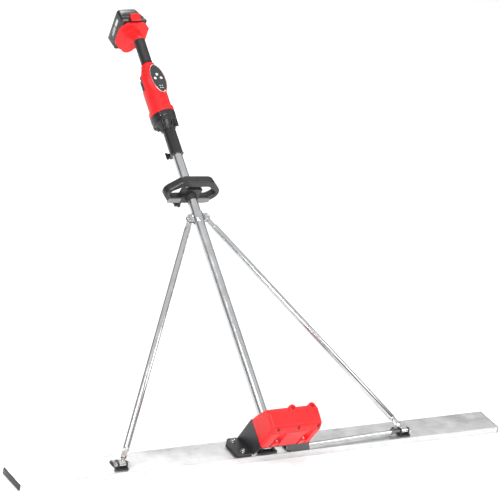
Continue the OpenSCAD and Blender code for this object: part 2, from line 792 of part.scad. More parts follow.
// Both halves of the control body before they are split
module body_shell() {
    difference() {
        union() {
            body_outer();
            pole_frame(body_u1 - 1) cylinder(r = 12.4, h = grip_u1 - body_u1 + 8);
            pole_frame(body_u1 - 1) translate([-5, 8, 0]) cube([10, grip_d / 2 - 6, grip_u1 - body_u1 + 1]);
        }
        body_room();
        pole_frame(body_u1 - 34) cylinder(r = 9.6, h = 140);
        pole_frame(body_u0 - 1) cylinder(r = 21, h = 20);
        pole_frame(trigger_u0) translate([-50, well_y, 0]) cube([100, 60, trigger_u1 - trigger_u0]);
        panel_frame() translate([0, 0, -3]) oval(panel_w / 2 + 1.6, panel_len / 2 + 1.6, 20);
        panel_frame() translate([0, 0, -20]) oval(panel_w / 2 - 4, panel_len / 2 - 4, 30);
        nose_screw_places() translate([0, 0, -1]) cylinder(r = 1.9, h = 16);
    }
}

module body_half(side) {
    intersection() {
        body_shell();
        pole_frame(900) translate([side > 0 ? 0.05 : -80.05, -100, 0]) cube([80, 200, 400]);
    }
}

module body_left() color([0.86, 0.12, 0.12]) body_half(-1);

module body_right() color([0.86, 0.12, 0.12]) body_half(1);

module grip_sleeve() color([0.05, 0.05, 0.05]) pole_frame(body_u1 + 5) difference() {
    tube(grip_d / 2, 12.5, grip_u1 - body_u1 - 5);
    translate([-5.3, 0, -1]) cube([10.6, 30, 100]);
}

module display_panel() color([0.06, 0.06, 0.07]) difference() {
    panel_frame() translate([0, 0, -3]) oval(panel_w / 2, panel_len / 2, 2.6);
    panel_frame() button_places() translate([0, 0, -5]) cylinder(r = 4.2, h = 8);
    panel_frame() lens_places() translate([0, 0, -5]) cylinder(r = 1.8, h = 8);
}

module panel_bezel() color([0.8, 0.76, 0.68]) panel_frame() difference() {
    translate([0, 0, -2.9]) oval(panel_w / 2 + 1.5, panel_len / 2 + 1.5, 3.6);
    translate([0, 0, -4]) oval(panel_w / 2 + 0.1, panel_len / 2 + 0.1, 6);
}

button_xy = [[0, 13], [-9.5, 1], [9.5, 1]];

module button_places() {
    for (p = button_xy) translate([p.x, p.y, 0]) children();
}

module lens_places() {
    for (x = [-3.5, 3.5]) for (y = [-24, -31]) translate([x, y, 0]) children();
}

module push_button(p) {
    panel_frame() translate([p.x, p.y, 0]) {
        translate([0, 0, -3.2]) cylinder(r = 4, h = 4);
        translate([0, 0, -4.7]) cylinder(r = 5.4, h = 1.5);
    }
}

module panel_button_power() color("white") push_button(button_xy[0]);

module panel_buttons_minus() color("white") push_button(button_xy[1]);

module panel_buttons_plus() color("white") push_button(button_xy[2]);

module panel_lenses() color("white") panel_frame() lens_places()
    translate([0, 0, -3]) cylinder(r = 1.7, h = 2.8);

module circuit_board() color([0.1, 0.35, 0.2]) panel_frame() translate([0, 0, -8])
    oval(panel_w / 2 - 5, panel_len / 2 - 5, 1.6);

// Tray in the underside of the body with two lugs for the trigger pin
module trigger_well() color([0.04, 0.04, 0.04]) pole_frame(trigger_u0 + 0.2) {
    translate([-28, well_y + 0.1, 0]) cube([56, 2, trigger_u1 - trigger_u0 - 0.4]);
    for (z = [0, trigger_u1 - trigger_u0 - 1.9]) translate([-17, well_y + 0.1, z]) cube([34, 24, 1.5]);
    for (x = [-28, 26]) translate([x, well_y + 0.1, 0])
        cube([2, well_rim, trigger_u1 - trigger_u0 - 0.4]);
    for (x = [-lug_x - 3, lug_x]) difference() {
        translate([x, well_y + 0.1, trigger_pin_u - trigger_u0 - 4.2])
            cube([3, trigger_pin_y - well_y + 4, 8]);
        translate([x - 1, trigger_pin_y, trigger_pin_u - trigger_u0 - 0.2]) rotate([0, 90, 0])
            cylinder(r = 1.55, h = 5);
    }
}

module trigger_switch() color([0.2, 0.2, 0.22]) pole_frame(trigger_u0 + 6) {
    translate([-5, well_y + 2.1, 0]) cube([10, switch_y - well_y - 2.1, 14]);
    translate([0, switch_y - 1, 5]) rotate([-90, 0, 0]) cylinder(r = 1.6, h = 2.4);
}

module trigger_pin() color("gainsboro") pole_frame(trigger_pin_u) translate([-lug_x - 3.4, trigger_pin_y, 0])
    rotate([0, 90, 0]) cylinder(r = 1.5, h = 2 * lug_x + 6.8);

module trigger() color([0.06, 0.06, 0.06]) pole_frame(trigger_u0 + 3) difference() {
    union() {
        translate([-12.5, trigger_pin_y + 4, 0]) cube([25, 7, trigger_pin_u - trigger_u0]);
        translate([-lug_x + 0.3, trigger_pin_y, trigger_pin_u - trigger_u0 - 3]) rotate([0, 90, 0])
            cylinder(r = 4, h = 2 * lug_x - 0.6);
        translate([-10, trigger_pin_y, trigger_pin_u - trigger_u0 - 7]) cube([20, 8, 8]);
    }
    translate([-30, trigger_pin_y, trigger_pin_u - trigger_u0 - 3]) rotate([0, 90, 0])
        cylinder(r = 1.6, h = 60);
}

// ---------------------------------------------------------------- battery

// Battery frame: x across, y down the rails, z away from the grip
module pack_frame() {
    pole_frame(pack_u) rotate([-pack_tilt, 0, 0]) children();
}

plate_pts = [[28, -28], [47, -9], [47, 39], [26, 62], [-26, 62], [-47, 39], [-47, -9], [-28, -28]];

module battery_receiver() color([0.86, 0.12, 0.12]) difference() {
    union() {
        pack_frame() translate([0, 0, plate_z]) linear_extrude(plate_t) rounded(8) polygon(plate_pts);
        hull() {
            pole_frame(grip_u1 + 0.2) translate([0, 2, 0]) cylinder(r = 17, h = 1, $fn = 32);
            pack_frame() translate([0, 16, plate_z]) cylinder(r = 26, h = 1, $fn = 32);
        }
        pack_frame() translate([0, 51, plate_z]) cylinder(r = 24, h = plate_t);
    }
    pole_frame(body_u1) cylinder(r = 12.6, h = 97);
    pole_frame(body_u1) translate([-5.2, 5, 0]) cube([10.4, 17, 80.6]);
    pack_frame() for (s = [-1, 1]) translate([s * 20, 6, plate_z + plate_t]) cube([3, 40, 8], center = true);
}

// Rail block of the pack, with the pocket of its release tab
module battery_top() color([0.12, 0.12, 0.12]) pack_frame() difference() {
    translate([-pack_w / 2, -31, plate_z + plate_t + 0.2]) cube([pack_w, 96, 10]);
    translate([-14, -32, plate_z + plate_t + 1]) cube([28, 6, 8]);
}

module battery_case() color([0.1, 0.1, 0.1]) difference() {
    hull() {
        pack_frame() translate([-pack_w / 2, -31, pack_z]) cube([pack_w, 98, 1]);
        pack_frame() translate([-pack_w / 2, -32, pack_z + 11]) cube([pack_w, 102, 1]);
        pack_frame() translate([-pack_w / 2 + 6, -29, pack_z + 48.6]) cube([pack_w - 12, 108, 1]);
    }
    pack_frame() translate([-pack_w / 2 + 5, -27, pack_z - 1]) cube([pack_w - 10, 90, 42]);
}

module battery_cells() color("steelblue") pack_frame() for (k = [0 : 3]) for (s = [0, 1])
    translate([-29, -13 + 20 * k, pack_z + 10.2 + s * 19.5]) rotate([0, 90, 0]) cylinder(r = 9, h = 58);

module release_button() color([0.86, 0.12, 0.12]) pack_frame() {
    hull() {
        translate([-15, -46, pack_z - 1]) cube([30, 1, 6]);
        translate([-15, -35, pack_z - 16]) cube([30, 1, 21]);
    }
    translate([-13.5, -34.5, pack_z - 9]) cube([27, 6, 7]);
}

screed_blade();
blade_end_caps();
bracket();
bracket_pads();
bracket_bolts();
blade_nuts();
centre_foot();
outer_feet();
foot_screws();
pivot_bolts();
stay_rod();
stay_rod_end();
motor_cradle();
motor_can();
motor_end_bells();
stator();
rotor();
rotor_bearings();
eccentric_weights();
vibrator_cover();
cover_end_plates();
cover_rail();
cover_screws();
pole_foot();
pole();
collar_halves();
collar_bolts();
brace_left();
brace_right();
brace_rod_ends();
handle_liner();
loop_handle();
handle_cap();
handle_pads();
clamp_bolt();
clamp_knob();
coupling_sleeve();
nose_cone();
sleeve_knob();
body_left();
body_right();
grip_sleeve();
battery_receiver();
display_panel();
panel_bezel();
panel_buttons_minus();
panel_buttons_plus();
panel_button_power();
panel_lenses();
circuit_board();
trigger();
trigger_pin();
trigger_well();
trigger_switch();
nose_screws();
battery_case();
battery_top();
battery_cells();
release_button();
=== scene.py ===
import json
from math import atan2, ceil, copysign, cos, hypot, pi, radians, sin

import bmesh
import bpy
from mathutils import Matrix, Vector


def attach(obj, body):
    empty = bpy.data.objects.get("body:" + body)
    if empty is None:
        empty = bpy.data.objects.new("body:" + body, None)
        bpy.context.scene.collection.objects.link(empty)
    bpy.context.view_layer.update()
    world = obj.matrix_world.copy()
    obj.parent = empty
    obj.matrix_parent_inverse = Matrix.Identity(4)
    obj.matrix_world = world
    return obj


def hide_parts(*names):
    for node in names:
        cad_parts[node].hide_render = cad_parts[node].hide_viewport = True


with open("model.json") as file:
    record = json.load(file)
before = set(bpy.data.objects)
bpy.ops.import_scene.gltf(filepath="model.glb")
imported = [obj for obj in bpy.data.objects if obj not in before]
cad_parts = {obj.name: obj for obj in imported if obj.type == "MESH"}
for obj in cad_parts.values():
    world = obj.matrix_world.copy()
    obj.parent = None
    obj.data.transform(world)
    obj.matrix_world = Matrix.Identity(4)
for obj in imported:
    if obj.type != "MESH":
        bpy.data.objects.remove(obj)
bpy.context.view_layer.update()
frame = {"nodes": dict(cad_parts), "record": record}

scene = bpy.context.scene
MM = 0.001

# ------------------------------------------------------------------ places
# Lengths are in millimetres until a matrix or mesh is made, which is in metres.

LEAN = 54
POLE_V = 73
POLE_R = 14
HINGE_Y, HINGE_Z = -24, 30
FOOT_X = 442
COLLAR_U = 671
EAR_X = 24
HANDLE_U = 749
BODY_U = 996
GRIP_U, GRIP_END = 1157, 1232
NOSE_SCREWS = [(x, y) for x in (-22, 22) for y in (-18, 30)]
BLADE_X, BLADE_Y, BLADE_H, CAP_T = 750, 46.5, 18, 3


def shift(x, y, z):
    return Matrix.Translation((x * MM, y * MM, z * MM))


def turn(degrees, axis):
    return Matrix.Rotation(radians(degrees), 4, axis)


def leaning(u=0, v=0):
    """Frame on the leaning axis: x across, y square to the pole and down, z up the pole."""
    return turn(-LEAN, "X") @ shift(0, -v, u)


def on_pole(u):
    return leaning(u, POLE_V)


HANDLE = on_pole(HANDLE_U) @ turn(7, "Z") @ turn(-16, "X")
PANEL_A, PANEL_B = 20, 44
PANEL = on_pole(1093) @ shift(0, -32, 0) @ turn(90 - 5, "X")
PACK = on_pole(1240) @ turn(-22, "X")


def aimed(start, end, roll=0):
    """Frame at start with z towards end, as the CAD's own brace frames are turned."""
    d = (Vector(end) - Vector(start)).normalized()
    tilt, heading = atan2(hypot(d.x, d.y), d.z), atan2(d.y, d.x)
    return (shift(*start) @ Matrix.Rotation(heading, 4, "Z") @ Matrix.Rotation(tilt, 4, "Y")
            @ turn(roll, "Z"))


# ------------------------------------------------------------------ materials

class Tree:
    """Short way to add and link shader nodes."""

    def __init__(self, name):
        self.material = bpy.data.materials.new(name)
        self.material.use_nodes = True
        self.nodes = self.material.node_tree.nodes
        self.links = self.material.node_tree.links
        self.shader = self.nodes["Principled BSDF"]
        self.where = self.add("ShaderNodeTexCoord").outputs["Object"]

    def add(self, kind, **values):
        node = self.nodes.new(kind)
        for key, value in values.items():
            setattr(node, key, value)
        return node

    def link(self, source, target):
        self.links.new(source, target)

    def scaled(self, scale):
        mapping = self.add("ShaderNodeMapping")
        mapping.inputs["Scale"].default_value = scale
        self.link(self.where, mapping.inputs["Vector"])
        return mapping.outputs["Vector"]

    def noise(self, scale, detail=3.0, stretch=(1, 1, 1), distortion=0.0):
        node = self.add("ShaderNodeTexNoise")
        node.inputs["Scale"].default_value = scale
        node.inputs["Detail"].default_value = detail
        node.inputs["Distortion"].default_value = distortion
        self.link(self.scaled(stretch), node.inputs["Vector"])
        return node.outputs["Fac"]

    def cells(self, scale):
        node = self.add("ShaderNodeTexVoronoi", feature="F1")
        node.inputs["Scale"].default_value = scale
        self.link(self.scaled((1, 1, 1)), node.inputs["Vector"])
        return node.outputs["Distance"]

    def span(self, value, low, high, out_low, out_high):
        node = self.add("ShaderNodeMapRange")
        limits = {"From Min": low, "From Max": high, "To Min": out_low, "To Max": out_high}
        for key, number in limits.items():
            node.inputs[key].default_value = number
        self.link(value, node.inputs["Value"])
        return node.outputs["Result"]

    def math(self, operation, a, b=0.0):
        node = self.add("ShaderNodeMath", operation=operation)
        for socket, value in zip(node.inputs, (a, b)):
            if isinstance(value, (int, float)):
                socket.default_value = value
            else:
                self.link(value, socket)
        return node.outputs["Value"]

    def mix(self, factor, a, b):
        """Mix of two colours, each an RGB triple or a socket."""
        node = self.add("ShaderNodeMix", data_type="RGBA")
        self.link(factor, node.inputs["Factor"])
        for socket, value in zip((node.inputs[6], node.inputs[7]), (a, b)):
            if isinstance(value, tuple):
                socket.default_value = (*value, 1)
            else:
                self.link(value, socket)
        return node.outputs[2]

    def worn_edges(self, radius, gain):
        """0 on flat parts, up to 1 along edges that stand out."""
        bevel = self.add("ShaderNodeBevel", samples=4)
        bevel.inputs["Radius"].default_value = radius * MM
        plain = self.add("ShaderNodeNewGeometry").outputs["Normal"]
        dot = self.add("ShaderNodeVectorMath", operation="DOT_PRODUCT")
        self.link(bevel.outputs["Normal"], dot.inputs[0])
        self.link(plain, dot.inputs[1])
        return self.span(dot.outputs["Value"], 1.0, 1.0 - 1.0 / gain, 0.0, 1.0)

    def bump(self, *layers):
        """Bumps from (height socket, depth in mm) layers, finest last."""
        normal = None
        for height, depth in layers:
            node = self.add("ShaderNodeBump")
            node.inputs["Strength"].default_value = 1.0
            node.inputs["Distance"].default_value = depth * MM
            self.link(height, node.inputs["Height"])
            if normal:
                self.link(normal, node.inputs["Normal"])
            normal = node.outputs["Normal"]
        self.link(normal, self.shader.inputs["Normal"])

    def finish(self, colour, rough, metallic=0.0, coat=0.0, specular=0.5):
        s = self.shader.inputs
        self.link(colour, s["Base Color"])
        self.link(rough, s["Roughness"])
        s["Metallic"].default_value = metallic
        s["Coat Weight"].default_value = coat
        s["Coat Roughness"].default_value = 0.12
        s["Specular IOR Level"].default_value = specular
        return self.material


def shade(colour, k):
    return tuple(min(c * k, 1.0) for c in colour)


def metal(name, colour, rough=0.25, stretch=(1, 1, 1), streaks=900, blotch=40, depth=0.01, stain=0.0):
    """Bare or plated metal: fine drawn streaks, cloudy patches, a few scratches and dull spots."""
    t = Tree(name)
    cloud = t.noise(blotch, 5)
    streak = t.noise(streaks, 4, stretch)
    fine = t.noise(streaks * 4, 2, stretch)
    scratch = t.span(t.noise(streaks * 0.35, 2, stretch, 0.4), 0.66, 0.72, 0.0, 1.0)
    spots = t.span(t.cells(260), 0.0, 0.16, 1.0, 0.0)
    tone = t.mix(t.span(cloud, 0.3, 0.7, 0.0, 1.0), shade(colour, 0.86), shade(colour, 1.06))
    tone = t.mix(t.span(streak, 0.35, 0.65, 0.0, 0.55), tone, shade(colour, 0.80))
    if stain:
        tone = t.mix(t.span(t.noise(blotch * 0.3, 6), 0.52, 0.70, 0.0, stain), tone, shade(colour, 0.45))
    tone = t.mix(t.math("MULTIPLY", scratch, 0.35), tone, shade(colour, 1.25))
    level = t.span(streak, 0.3, 0.7, rough * 0.8, rough * 1.3)
    level = t.math("ADD", level, t.span(cloud, 0.35, 0.7, -0.04, 0.06))
    level = t.math("ADD", level, t.math("MULTIPLY", spots, 0.10))
    t.bump((cloud, depth * 4), (streak, depth), (fine, depth * 0.5))
    return t.finish(tone, level, metallic=1.0)


def moulded(name, colour, rough=0.42, grain=2600, depth=0.02, coat=0.0, wear=0.25, light=1.5, specular=0.5):
    """Moulded plastic or powder coat: fine grain, slow colour drift, handling marks and rubbed edges."""
    t = Tree(name)
    drift = t.noise(18, 4)
    fine = t.noise(grain, 2)
    flow = t.noise(90, 5, (1, 1, 0.25), 0.6)
    scuff = t.span(t.noise(240, 3, (1, 0.12, 1), 0.8), 0.63, 0.72, 0.0, 1.0)
    tone = t.mix(t.span(drift, 0.3, 0.7, 0.0, 1.0), shade(colour, 0.90), shade(colour, 1.06))
    tone = t.mix(t.span(flow, 0.45, 0.75, 0.0, 0.25), tone, shade(colour, 0.82))
    tone = t.mix(t.math("MULTIPLY", scuff, 0.12), tone, shade(colour, light))
    edges = t.math("MULTIPLY", t.worn_edges(0.9, 6.0), t.span(t.noise(300, 3), 0.35, 0.65, 0.2, 1.0))
    tone = t.mix(t.math("MULTIPLY", edges, wear), tone, tuple(min(c * light + 0.03, 1) for c in colour))
    level = t.span(fine, 0.3, 0.7, rough - 0.05, rough + 0.05)
    level = t.math("ADD", level, t.span(drift, 0.3, 0.7, -0.04, 0.05))
    level = t.math("ADD", level, t.math("MULTIPLY", scuff, 0.12))
    t.bump((drift, 0.15), (fine, depth))
    return t.finish(tone, level, coat=coat, specular=specular)


def rubber(name, colour, rough=0.55, bloom_gain=1.9):
    """Soft black rubber: dusty bloom and pores."""
    t = Tree(name)
    bloom = t.noise(60, 6)
    pores = t.cells(1500)
    tone = t.mix(t.span(bloom, 0.4, 0.75, 0.0, 0.5), colour, shade(colour, bloom_gain))
    level = t.span(bloom, 0.3, 0.7, rough, rough + 0.18)
    t.bump((bloom, 0.10), (pores, 0.04))
    return t.finish(tone, level, specular=0.45)


ALONG_X, ALONG_Z = (0.02, 1, 1), (1, 1, 0.02)
RED = (0.80, 0.020, 0.022)
M = {
    "blade_metal": metal("blade_metal", (0.84, 0.84, 0.84), 0.36, ALONG_X, 700, 30, 0.012, stain=0.10),
    "pole_metal": metal("pole_metal", (0.62, 0.63, 0.64), 0.16, ALONG_Z, 900, 30, 0.004),
    "zinc_steel": metal("zinc_steel", (0.66, 0.66, 0.65), 0.22, (1, 1, 1), 500, 160, 0.01),
    "dark_steel": metal("dark_steel", (0.22, 0.22, 0.23), 0.34, (1, 1, 1), 500, 140, 0.01),
    "black_coated_metal": moulded("black_coated_metal", (0.022, 0.023, 0.025), 0.36, 1800, 0.03, wear=0.35,
                                  light=4.0),
    "black_rubber": rubber("black_rubber", (0.016, 0.016, 0.017)),
    "grip_rubber": rubber("grip_rubber", (0.016, 0.016, 0.017), 0.26, 1.4),
    "black_plastic": moulded("black_plastic", (0.016, 0.016, 0.018), 0.30, 2400, 0.02, wear=0.2, light=4.0),
    "grey_plastic": moulded("grey_plastic", (0.24, 0.24, 0.24), 0.5, 2400, 0.03, wear=0.15),
    "red_plastic": moulded("red_plastic", RED, 0.36, 2200, 0.012, wear=0.15, light=1.2, specular=0.28),
    "pale_red_plastic": moulded("pale_red_plastic", (0.82, 0.035, 0.035), 0.40, 2200, 0.012, wear=0.2,
                                light=1.2),
    "motor_steel": metal("motor_steel", (0.42, 0.43, 0.45), 0.3, ALONG_X, 700, 90, 0.01),
    "cast_alloy": metal("cast_alloy", (0.62, 0.62, 0.63), 0.5, (1, 1, 1), 1200, 200, 0.05),
    "weight_iron": metal("weight_iron", (0.20, 0.20, 0.21), 0.55, (1, 1, 1), 900, 240, 0.08, stain=0.3),
    "copper_winding": metal("copper_winding", (0.72, 0.32, 0.14), 0.35, (1, 0.1, 1), 1500, 90, 0.05),
    "panel_black": moulded("panel_black", (0.020, 0.021, 0.024), 0.22, 3000, 0.008, coat=0.5, wear=0.1,
                           light=3.0),
    "bezel_silver": metal("bezel_silver", (0.86, 0.82, 0.74), 0.25, (1, 1, 1), 900, 120, 0.006),
    "button_white": moulded("button_white", (0.85, 0.85, 0.84), 0.3, 2400, 0.008, coat=0.3, wear=0.05,
                            light=1.0),
    "board_green": moulded("board_green", (0.02, 0.16, 0.07), 0.3, 1400, 0.02, coat=0.4, wear=0.1),
    "cell_wrap": moulded("cell_wrap", (0.10, 0.24, 0.45), 0.35, 1200, 0.01, wear=0.1),
}


# ------------------------------------------------------------------ mesh tools

def superellipse(a, b, power=2.0, n=48, x=0.0, y=0.0):
    """Closed outline of a rounded form with half axes a and b."""
    out = []
    for k in range(n):
        c, s = cos(2 * pi * k / n), sin(2 * pi * k / n)
        out.append((x + a * copysign(abs(c) ** (2 / power), c), y + b * copysign(abs(s) ** (2 / power), s)))
    return out


def rounded(points, radius, steps=6):
    """Outline through points with every corner turned into an arc; radius may be one number or a list."""
    out = []
    count = len(points)
    for i, p in enumerate(points):
        r = radius[i] if isinstance(radius, (list, tuple)) else radius
        p, before, after = Vector(p), Vector(points[i - 1]), Vector(points[(i + 1) % count])
        a, b = (before - p).normalized(), (after - p).normalized()
        half = a.angle(b) / 2
        reach = min(r / max(sin(half) / cos(half), 1e-6), (before - p).length * 0.49, (after - p).length * 0.49)
        r = reach * sin(half) / cos(half)
        centre = p + (a + b).normalized() * (r / sin(half))
        start, end = p + a * reach - centre, p + b * reach - centre
        sweep = start.angle_signed(end)
        for k in range(steps + 1):
            angle = -sweep * k / steps
            c, s = cos(angle), sin(angle)
            out.append((centre.x + start.x * c - start.y * s, centre.y + start.x * s + start.y * c))
    return out


def inset(outline, d):
    """The outline moved inwards by d along its own normals (anticlockwise or clockwise alike)."""
    count = len(outline)
    area = sum(outline[i - 1][0] * outline[i][1] - outline[i][0] * outline[i - 1][1] for i in range(count))
    side = copysign(1, area)
    out = []
    for i, (x, y) in enumerate(outline):
        ax, ay = outline[i - 1]
        bx, by = outline[(i + 1) % count]
        tx, ty = bx - ax, by - ay
        size = hypot(tx, ty) or 1.0
        out.append((x - side * d * ty / size, y + side * d * tx / size))
    return out


def lifted(outline, z):
    return [(x, y, z) for x, y in outline]


def skin(bm, loops, ring=False, caps=True):
    """Quads between closed loops of equal length, with end faces unless the loops form a ring."""
    rows = [[bm.verts.new(Vector(p) * MM) for p in loop] for loop in loops]
    n = len(rows[0])
    pairs = list(zip(rows, rows[1:])) + ([(rows[-1], rows[0])] if ring else [])
    for a, b in pairs:
        for i in range(n):
            bm.faces.new((a[i], a[(i + 1) % n], b[(i + 1) % n], b[i]))
    if caps and not ring:
        bm.faces.new(rows[0][::-1])
        bm.faces.new(rows[-1])


def circle(r, z, n=48, x=0.0, y=0.0):
    return lifted(superellipse(r, r, 2.0, n, x, y), z)


def lathe(bm, profile, n=48, ring=False):
    """Turned form from (radius, z) pairs."""
    skin(bm, [circle(r, z, n) for r, z in profile], ring)


def hex_radius(r, angle):
    """Distance to the edge of a hexagon with corner radius r."""
    return r * cos(pi / 6) / cos((angle % (pi / 3)) - pi / 6)


def hex_loop(r, z, limit=None, n=48):
    out = []
    for k in range(n):
        a = 2 * pi * k / n
        d = hex_radius(r, a)
        d = min(d, limit) if limit else d
        out.append((d * cos(a), d * sin(a), z))
    return out


def hex_block(bm, r, z0, z1, bore=0.0, both=False):
    """Bolt head or nut with turned chamfers; a bore makes it a nut."""
    edge, flat = r * 0.10, r * 0.90
    low = [hex_loop(r, z0, flat), hex_loop(r, z0 + edge)] if both else [hex_loop(r, z0)]
    loops = low + [hex_loop(r, z1 - edge), hex_loop(r, z1, flat)]
    if bore:
        loops += [circle(bore * 1.12, z1), circle(bore, z1 - bore * 0.15), circle(bore, z0)]
        skin(bm, loops, ring=True)
    else:
        skin(bm, loops)


def thread(bm, r, z0, z1, pitch=1.25, n=32):
    """Rod with a cut thread and chamfered ends."""
    depth, rows = pitch * 0.5, []
    count = ceil((z1 - z0) / pitch * 4)
    for i in range(count + 1):
        z = z0 + (z1 - z0) * i / count
        taper = min(1.0, (z - z0) / pitch, (z1 - z) / pitch)
        loop = []
        for k in range(n):
            a = 2 * pi * k / n
            phase = (z / pitch - k / n) % 1.0
            d = r - depth * abs(2 * phase - 1) - (1 - taper) * depth
            loop.append((d * cos(a), d * sin(a), z))
        rows.append(loop)
    skin(bm, rows)


def build(name, fill, body, material, place=Matrix(), bevel=0.0, segments=2, stands_for=(), hide_edges=32):
    """Makes a piece: fill(bm) adds its faces in millimetres, place puts it in the row frame."""
    bm = bmesh.new()
    fill(bm)
    bmesh.ops.recalc_face_normals(bm, faces=bm.faces)
    mesh = bpy.data.meshes.new(name)
    bm.to_mesh(mesh)
    bm.free()
    return adopt(name, mesh, body, material, place, bevel, segments, stands_for, hide_edges)


def adopt(name, mesh, body, material, place=Matrix(), bevel=0.0, segments=2, stands_for=(), hide_edges=32):
    obj = bpy.data.objects.new(name, mesh)
    scene.collection.objects.link(obj)
    obj.matrix_world = place
    mesh.materials.clear()
    mesh.materials.append(M[material])
    mesh.polygons.foreach_set("use_smooth", [True] * len(mesh.polygons))
    if bevel:
        soften(obj, bevel, segments, hide_edges)
    else:
        mesh.set_sharp_from_angle(angle=radians(hide_edges))
    if body:
        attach(obj, body)
    if stands_for:
        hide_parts(*stands_for)
    return obj


def soften(obj, width, segments=2, angle=32):
    """Rounded edges with clean highlights."""
    bevel = obj.modifiers.new("rounding", "BEVEL")
    bevel.width = width * MM
    bevel.segments = segments
    bevel.limit_method = "ANGLE"
    bevel.angle_limit = radians(angle)
    bevel.harden_normals = True
    bevel.use_clamp_overlap = True


def evaluated_mesh(obj):
    graph = bpy.context.evaluated_depsgraph_get()
    graph.update()
    return bpy.data.meshes.new_from_object(obj.evaluated_get(graph))


def tool(fill, place=Matrix()):
    """A loose object for cutting or joining, in the row frame."""
    bm = bmesh.new()
    fill(bm)
    bmesh.ops.recalc_face_normals(bm, faces=bm.faces)
    mesh = bpy.data.meshes.new("tool")
    bm.to_mesh(mesh)
    bm.free()
    mesh.transform(place)
    obj = bpy.data.objects.new("tool", mesh)
    scene.collection.objects.link(obj)
    return obj


def drop(obj):
    mesh = obj.data
    bpy.data.objects.remove(obj)
    bpy.data.meshes.remove(mesh)


def carve(obj, cutters, operation="DIFFERENCE"):
    """Boolean with each cutter in turn, applied at once."""
    for cutter in cutters:
        mod = obj.modifiers.new("carve", "BOOLEAN")
        mod.operation, mod.object, mod.solver = operation, cutter, "EXACT"
        mesh = evaluated_mesh(obj)
        obj.modifiers.clear()
        obj.data = mesh
        drop(cutter)
    return obj


def melt(parts, voxel, smooth=4):
    """Joins loose objects into one skin with soft inner corners."""
    base = parts[0]
    bm = bmesh.new()
    for part in parts:
        bm.from_mesh(part.data)
    bm.to_mesh(base.data)
    bm.free()
    for part in parts[1:]:
        drop(part)
    return remesh(base, voxel, smooth)


def remesh(obj, voxel, smooth):
    mod = obj.modifiers.new("melt", "REMESH")
    mod.mode, mod.voxel_size, mod.use_smooth_shade = "VOXEL", voxel * MM, True
    if smooth:
        soft = obj.modifiers.new("soft", "SMOOTH")
        soft.factor, soft.iterations = 0.5, smooth
    mesh = evaluated_mesh(obj)
    obj.modifiers.clear()
    obj.data = mesh
    return obj


def take(obj, place=Matrix()):
    """Takes a tool's mesh out of the scene, moved into the frame it will be placed by."""
    mesh = obj.data.copy()
    mesh.transform(place.inverted())
    drop(obj)
    return mesh


def cuboid(bm, low, high, round_off=0.0):
    """Block between two corners, its four long edges rounded if asked."""
    (x0, y0, z0), (x1, y1, z1) = low, high
    corners = [(x0, y0), (x1, y0), (x1, y1), (x0, y1)]
    outline = rounded(corners, round_off, 4) if round_off else corners
    skin(bm, [lifted(outline, z0), lifted(outline, z1)])


def stamp(bm, place, fill, *values):
    """Adds a form to bm, moved by a matrix in metres."""
    count = len(bm.verts)
    fill(bm, *values)
    bm.verts.ensure_lookup_table()
    bmesh.ops.transform(bm, matrix=place, verts=bm.verts[count:])


def spin(bm, place, r, z0, z1, edge=0.4, n=48):
    """Solid cylinder with rounded ends, along the z axis of a matrix."""
    profile = [(r - edge, z0), (r - edge * 0.3, z0 + edge * 0.3), (r, z0 + edge)]
    profile += [(r, z1 - edge), (r - edge * 0.3, z1 - edge * 0.3), (r - edge, z1)]
    stamp(bm, place, lathe, profile, n)


def pipe(bm, place, r_out, r_in, z0, z1, edge=0.4, n=64):
    """Open tube with chamfered rims."""
    profile = [(r_out - edge, z0), (r_out, z0 + edge), (r_out, z1 - edge), (r_out - edge, z1)]
    profile += [(r_in + edge, z1), (r_in, z1 - edge), (r_in, z0 + edge), (r_in + edge, z0)]
    stamp(bm, place, lathe, profile, n, True)


def socket_head(bm, r, z0, z1, key, depth):
    """Round screw head with a hexagon socket."""
    e = r * 0.14
    loops = [circle(r - e * 0.4, z0), circle(r, z0 + e * 0.5), circle(r, z1 - e), circle(r - e, z1)]
    loops += [circle(key * 1.12, z1), hex_loop(key, z1 - 0.35), hex_loop(key, z1 - depth)]
    skin(bm, loops)


def washer(bm, r, bore, z0, z1):
    skin(bm, [circle(r - 0.3, z0), circle(r, z0 + 0.3), circle(r, z1 - 0.3), circle(r - 0.3, z1),
              circle(bore, z1), circle(bore, z0)], ring=True)


# ------------------------------------------------------------------ camera, light, floor

def set_camera():
    """Placed by a fit to points read off the photograph, with its focal length chosen."""
    data = bpy.data.cameras.new("camera")
    data.sensor_fit, data.sensor_width, data.lens = "HORIZONTAL", 36, 244.8
    data.clip_end = 60
    camera = bpy.data.objects.new("camera", data)
    scene.collection.objects.link(camera)
    back = Vector((-0.5225, -0.7477, 0.4099)).normalized()
    right = Vector((0.0704, 0.4413, 0.8947)).cross(back).normalized()
    up = back.cross(right)
    camera.matrix_world = Matrix.Translation((-4.7226, -6.5285, 4.2005)) @ Matrix(
        (right, up, back)).transposed().to_4x4()
    scene.camera = camera


def soft_light(name, place, aim, size, power):
    data = bpy.data.lights.new(name, "AREA")
    data.shape, data.size, data.energy = "DISK", size, power
    lamp = bpy.data.objects.new(name, data)
    scene.collection.objects.link(lamp)
    lamp.location = place
    lamp.rotation_euler = (Vector(aim) - Vector(place)).to_track_quat("-Z", "Y").to_euler()


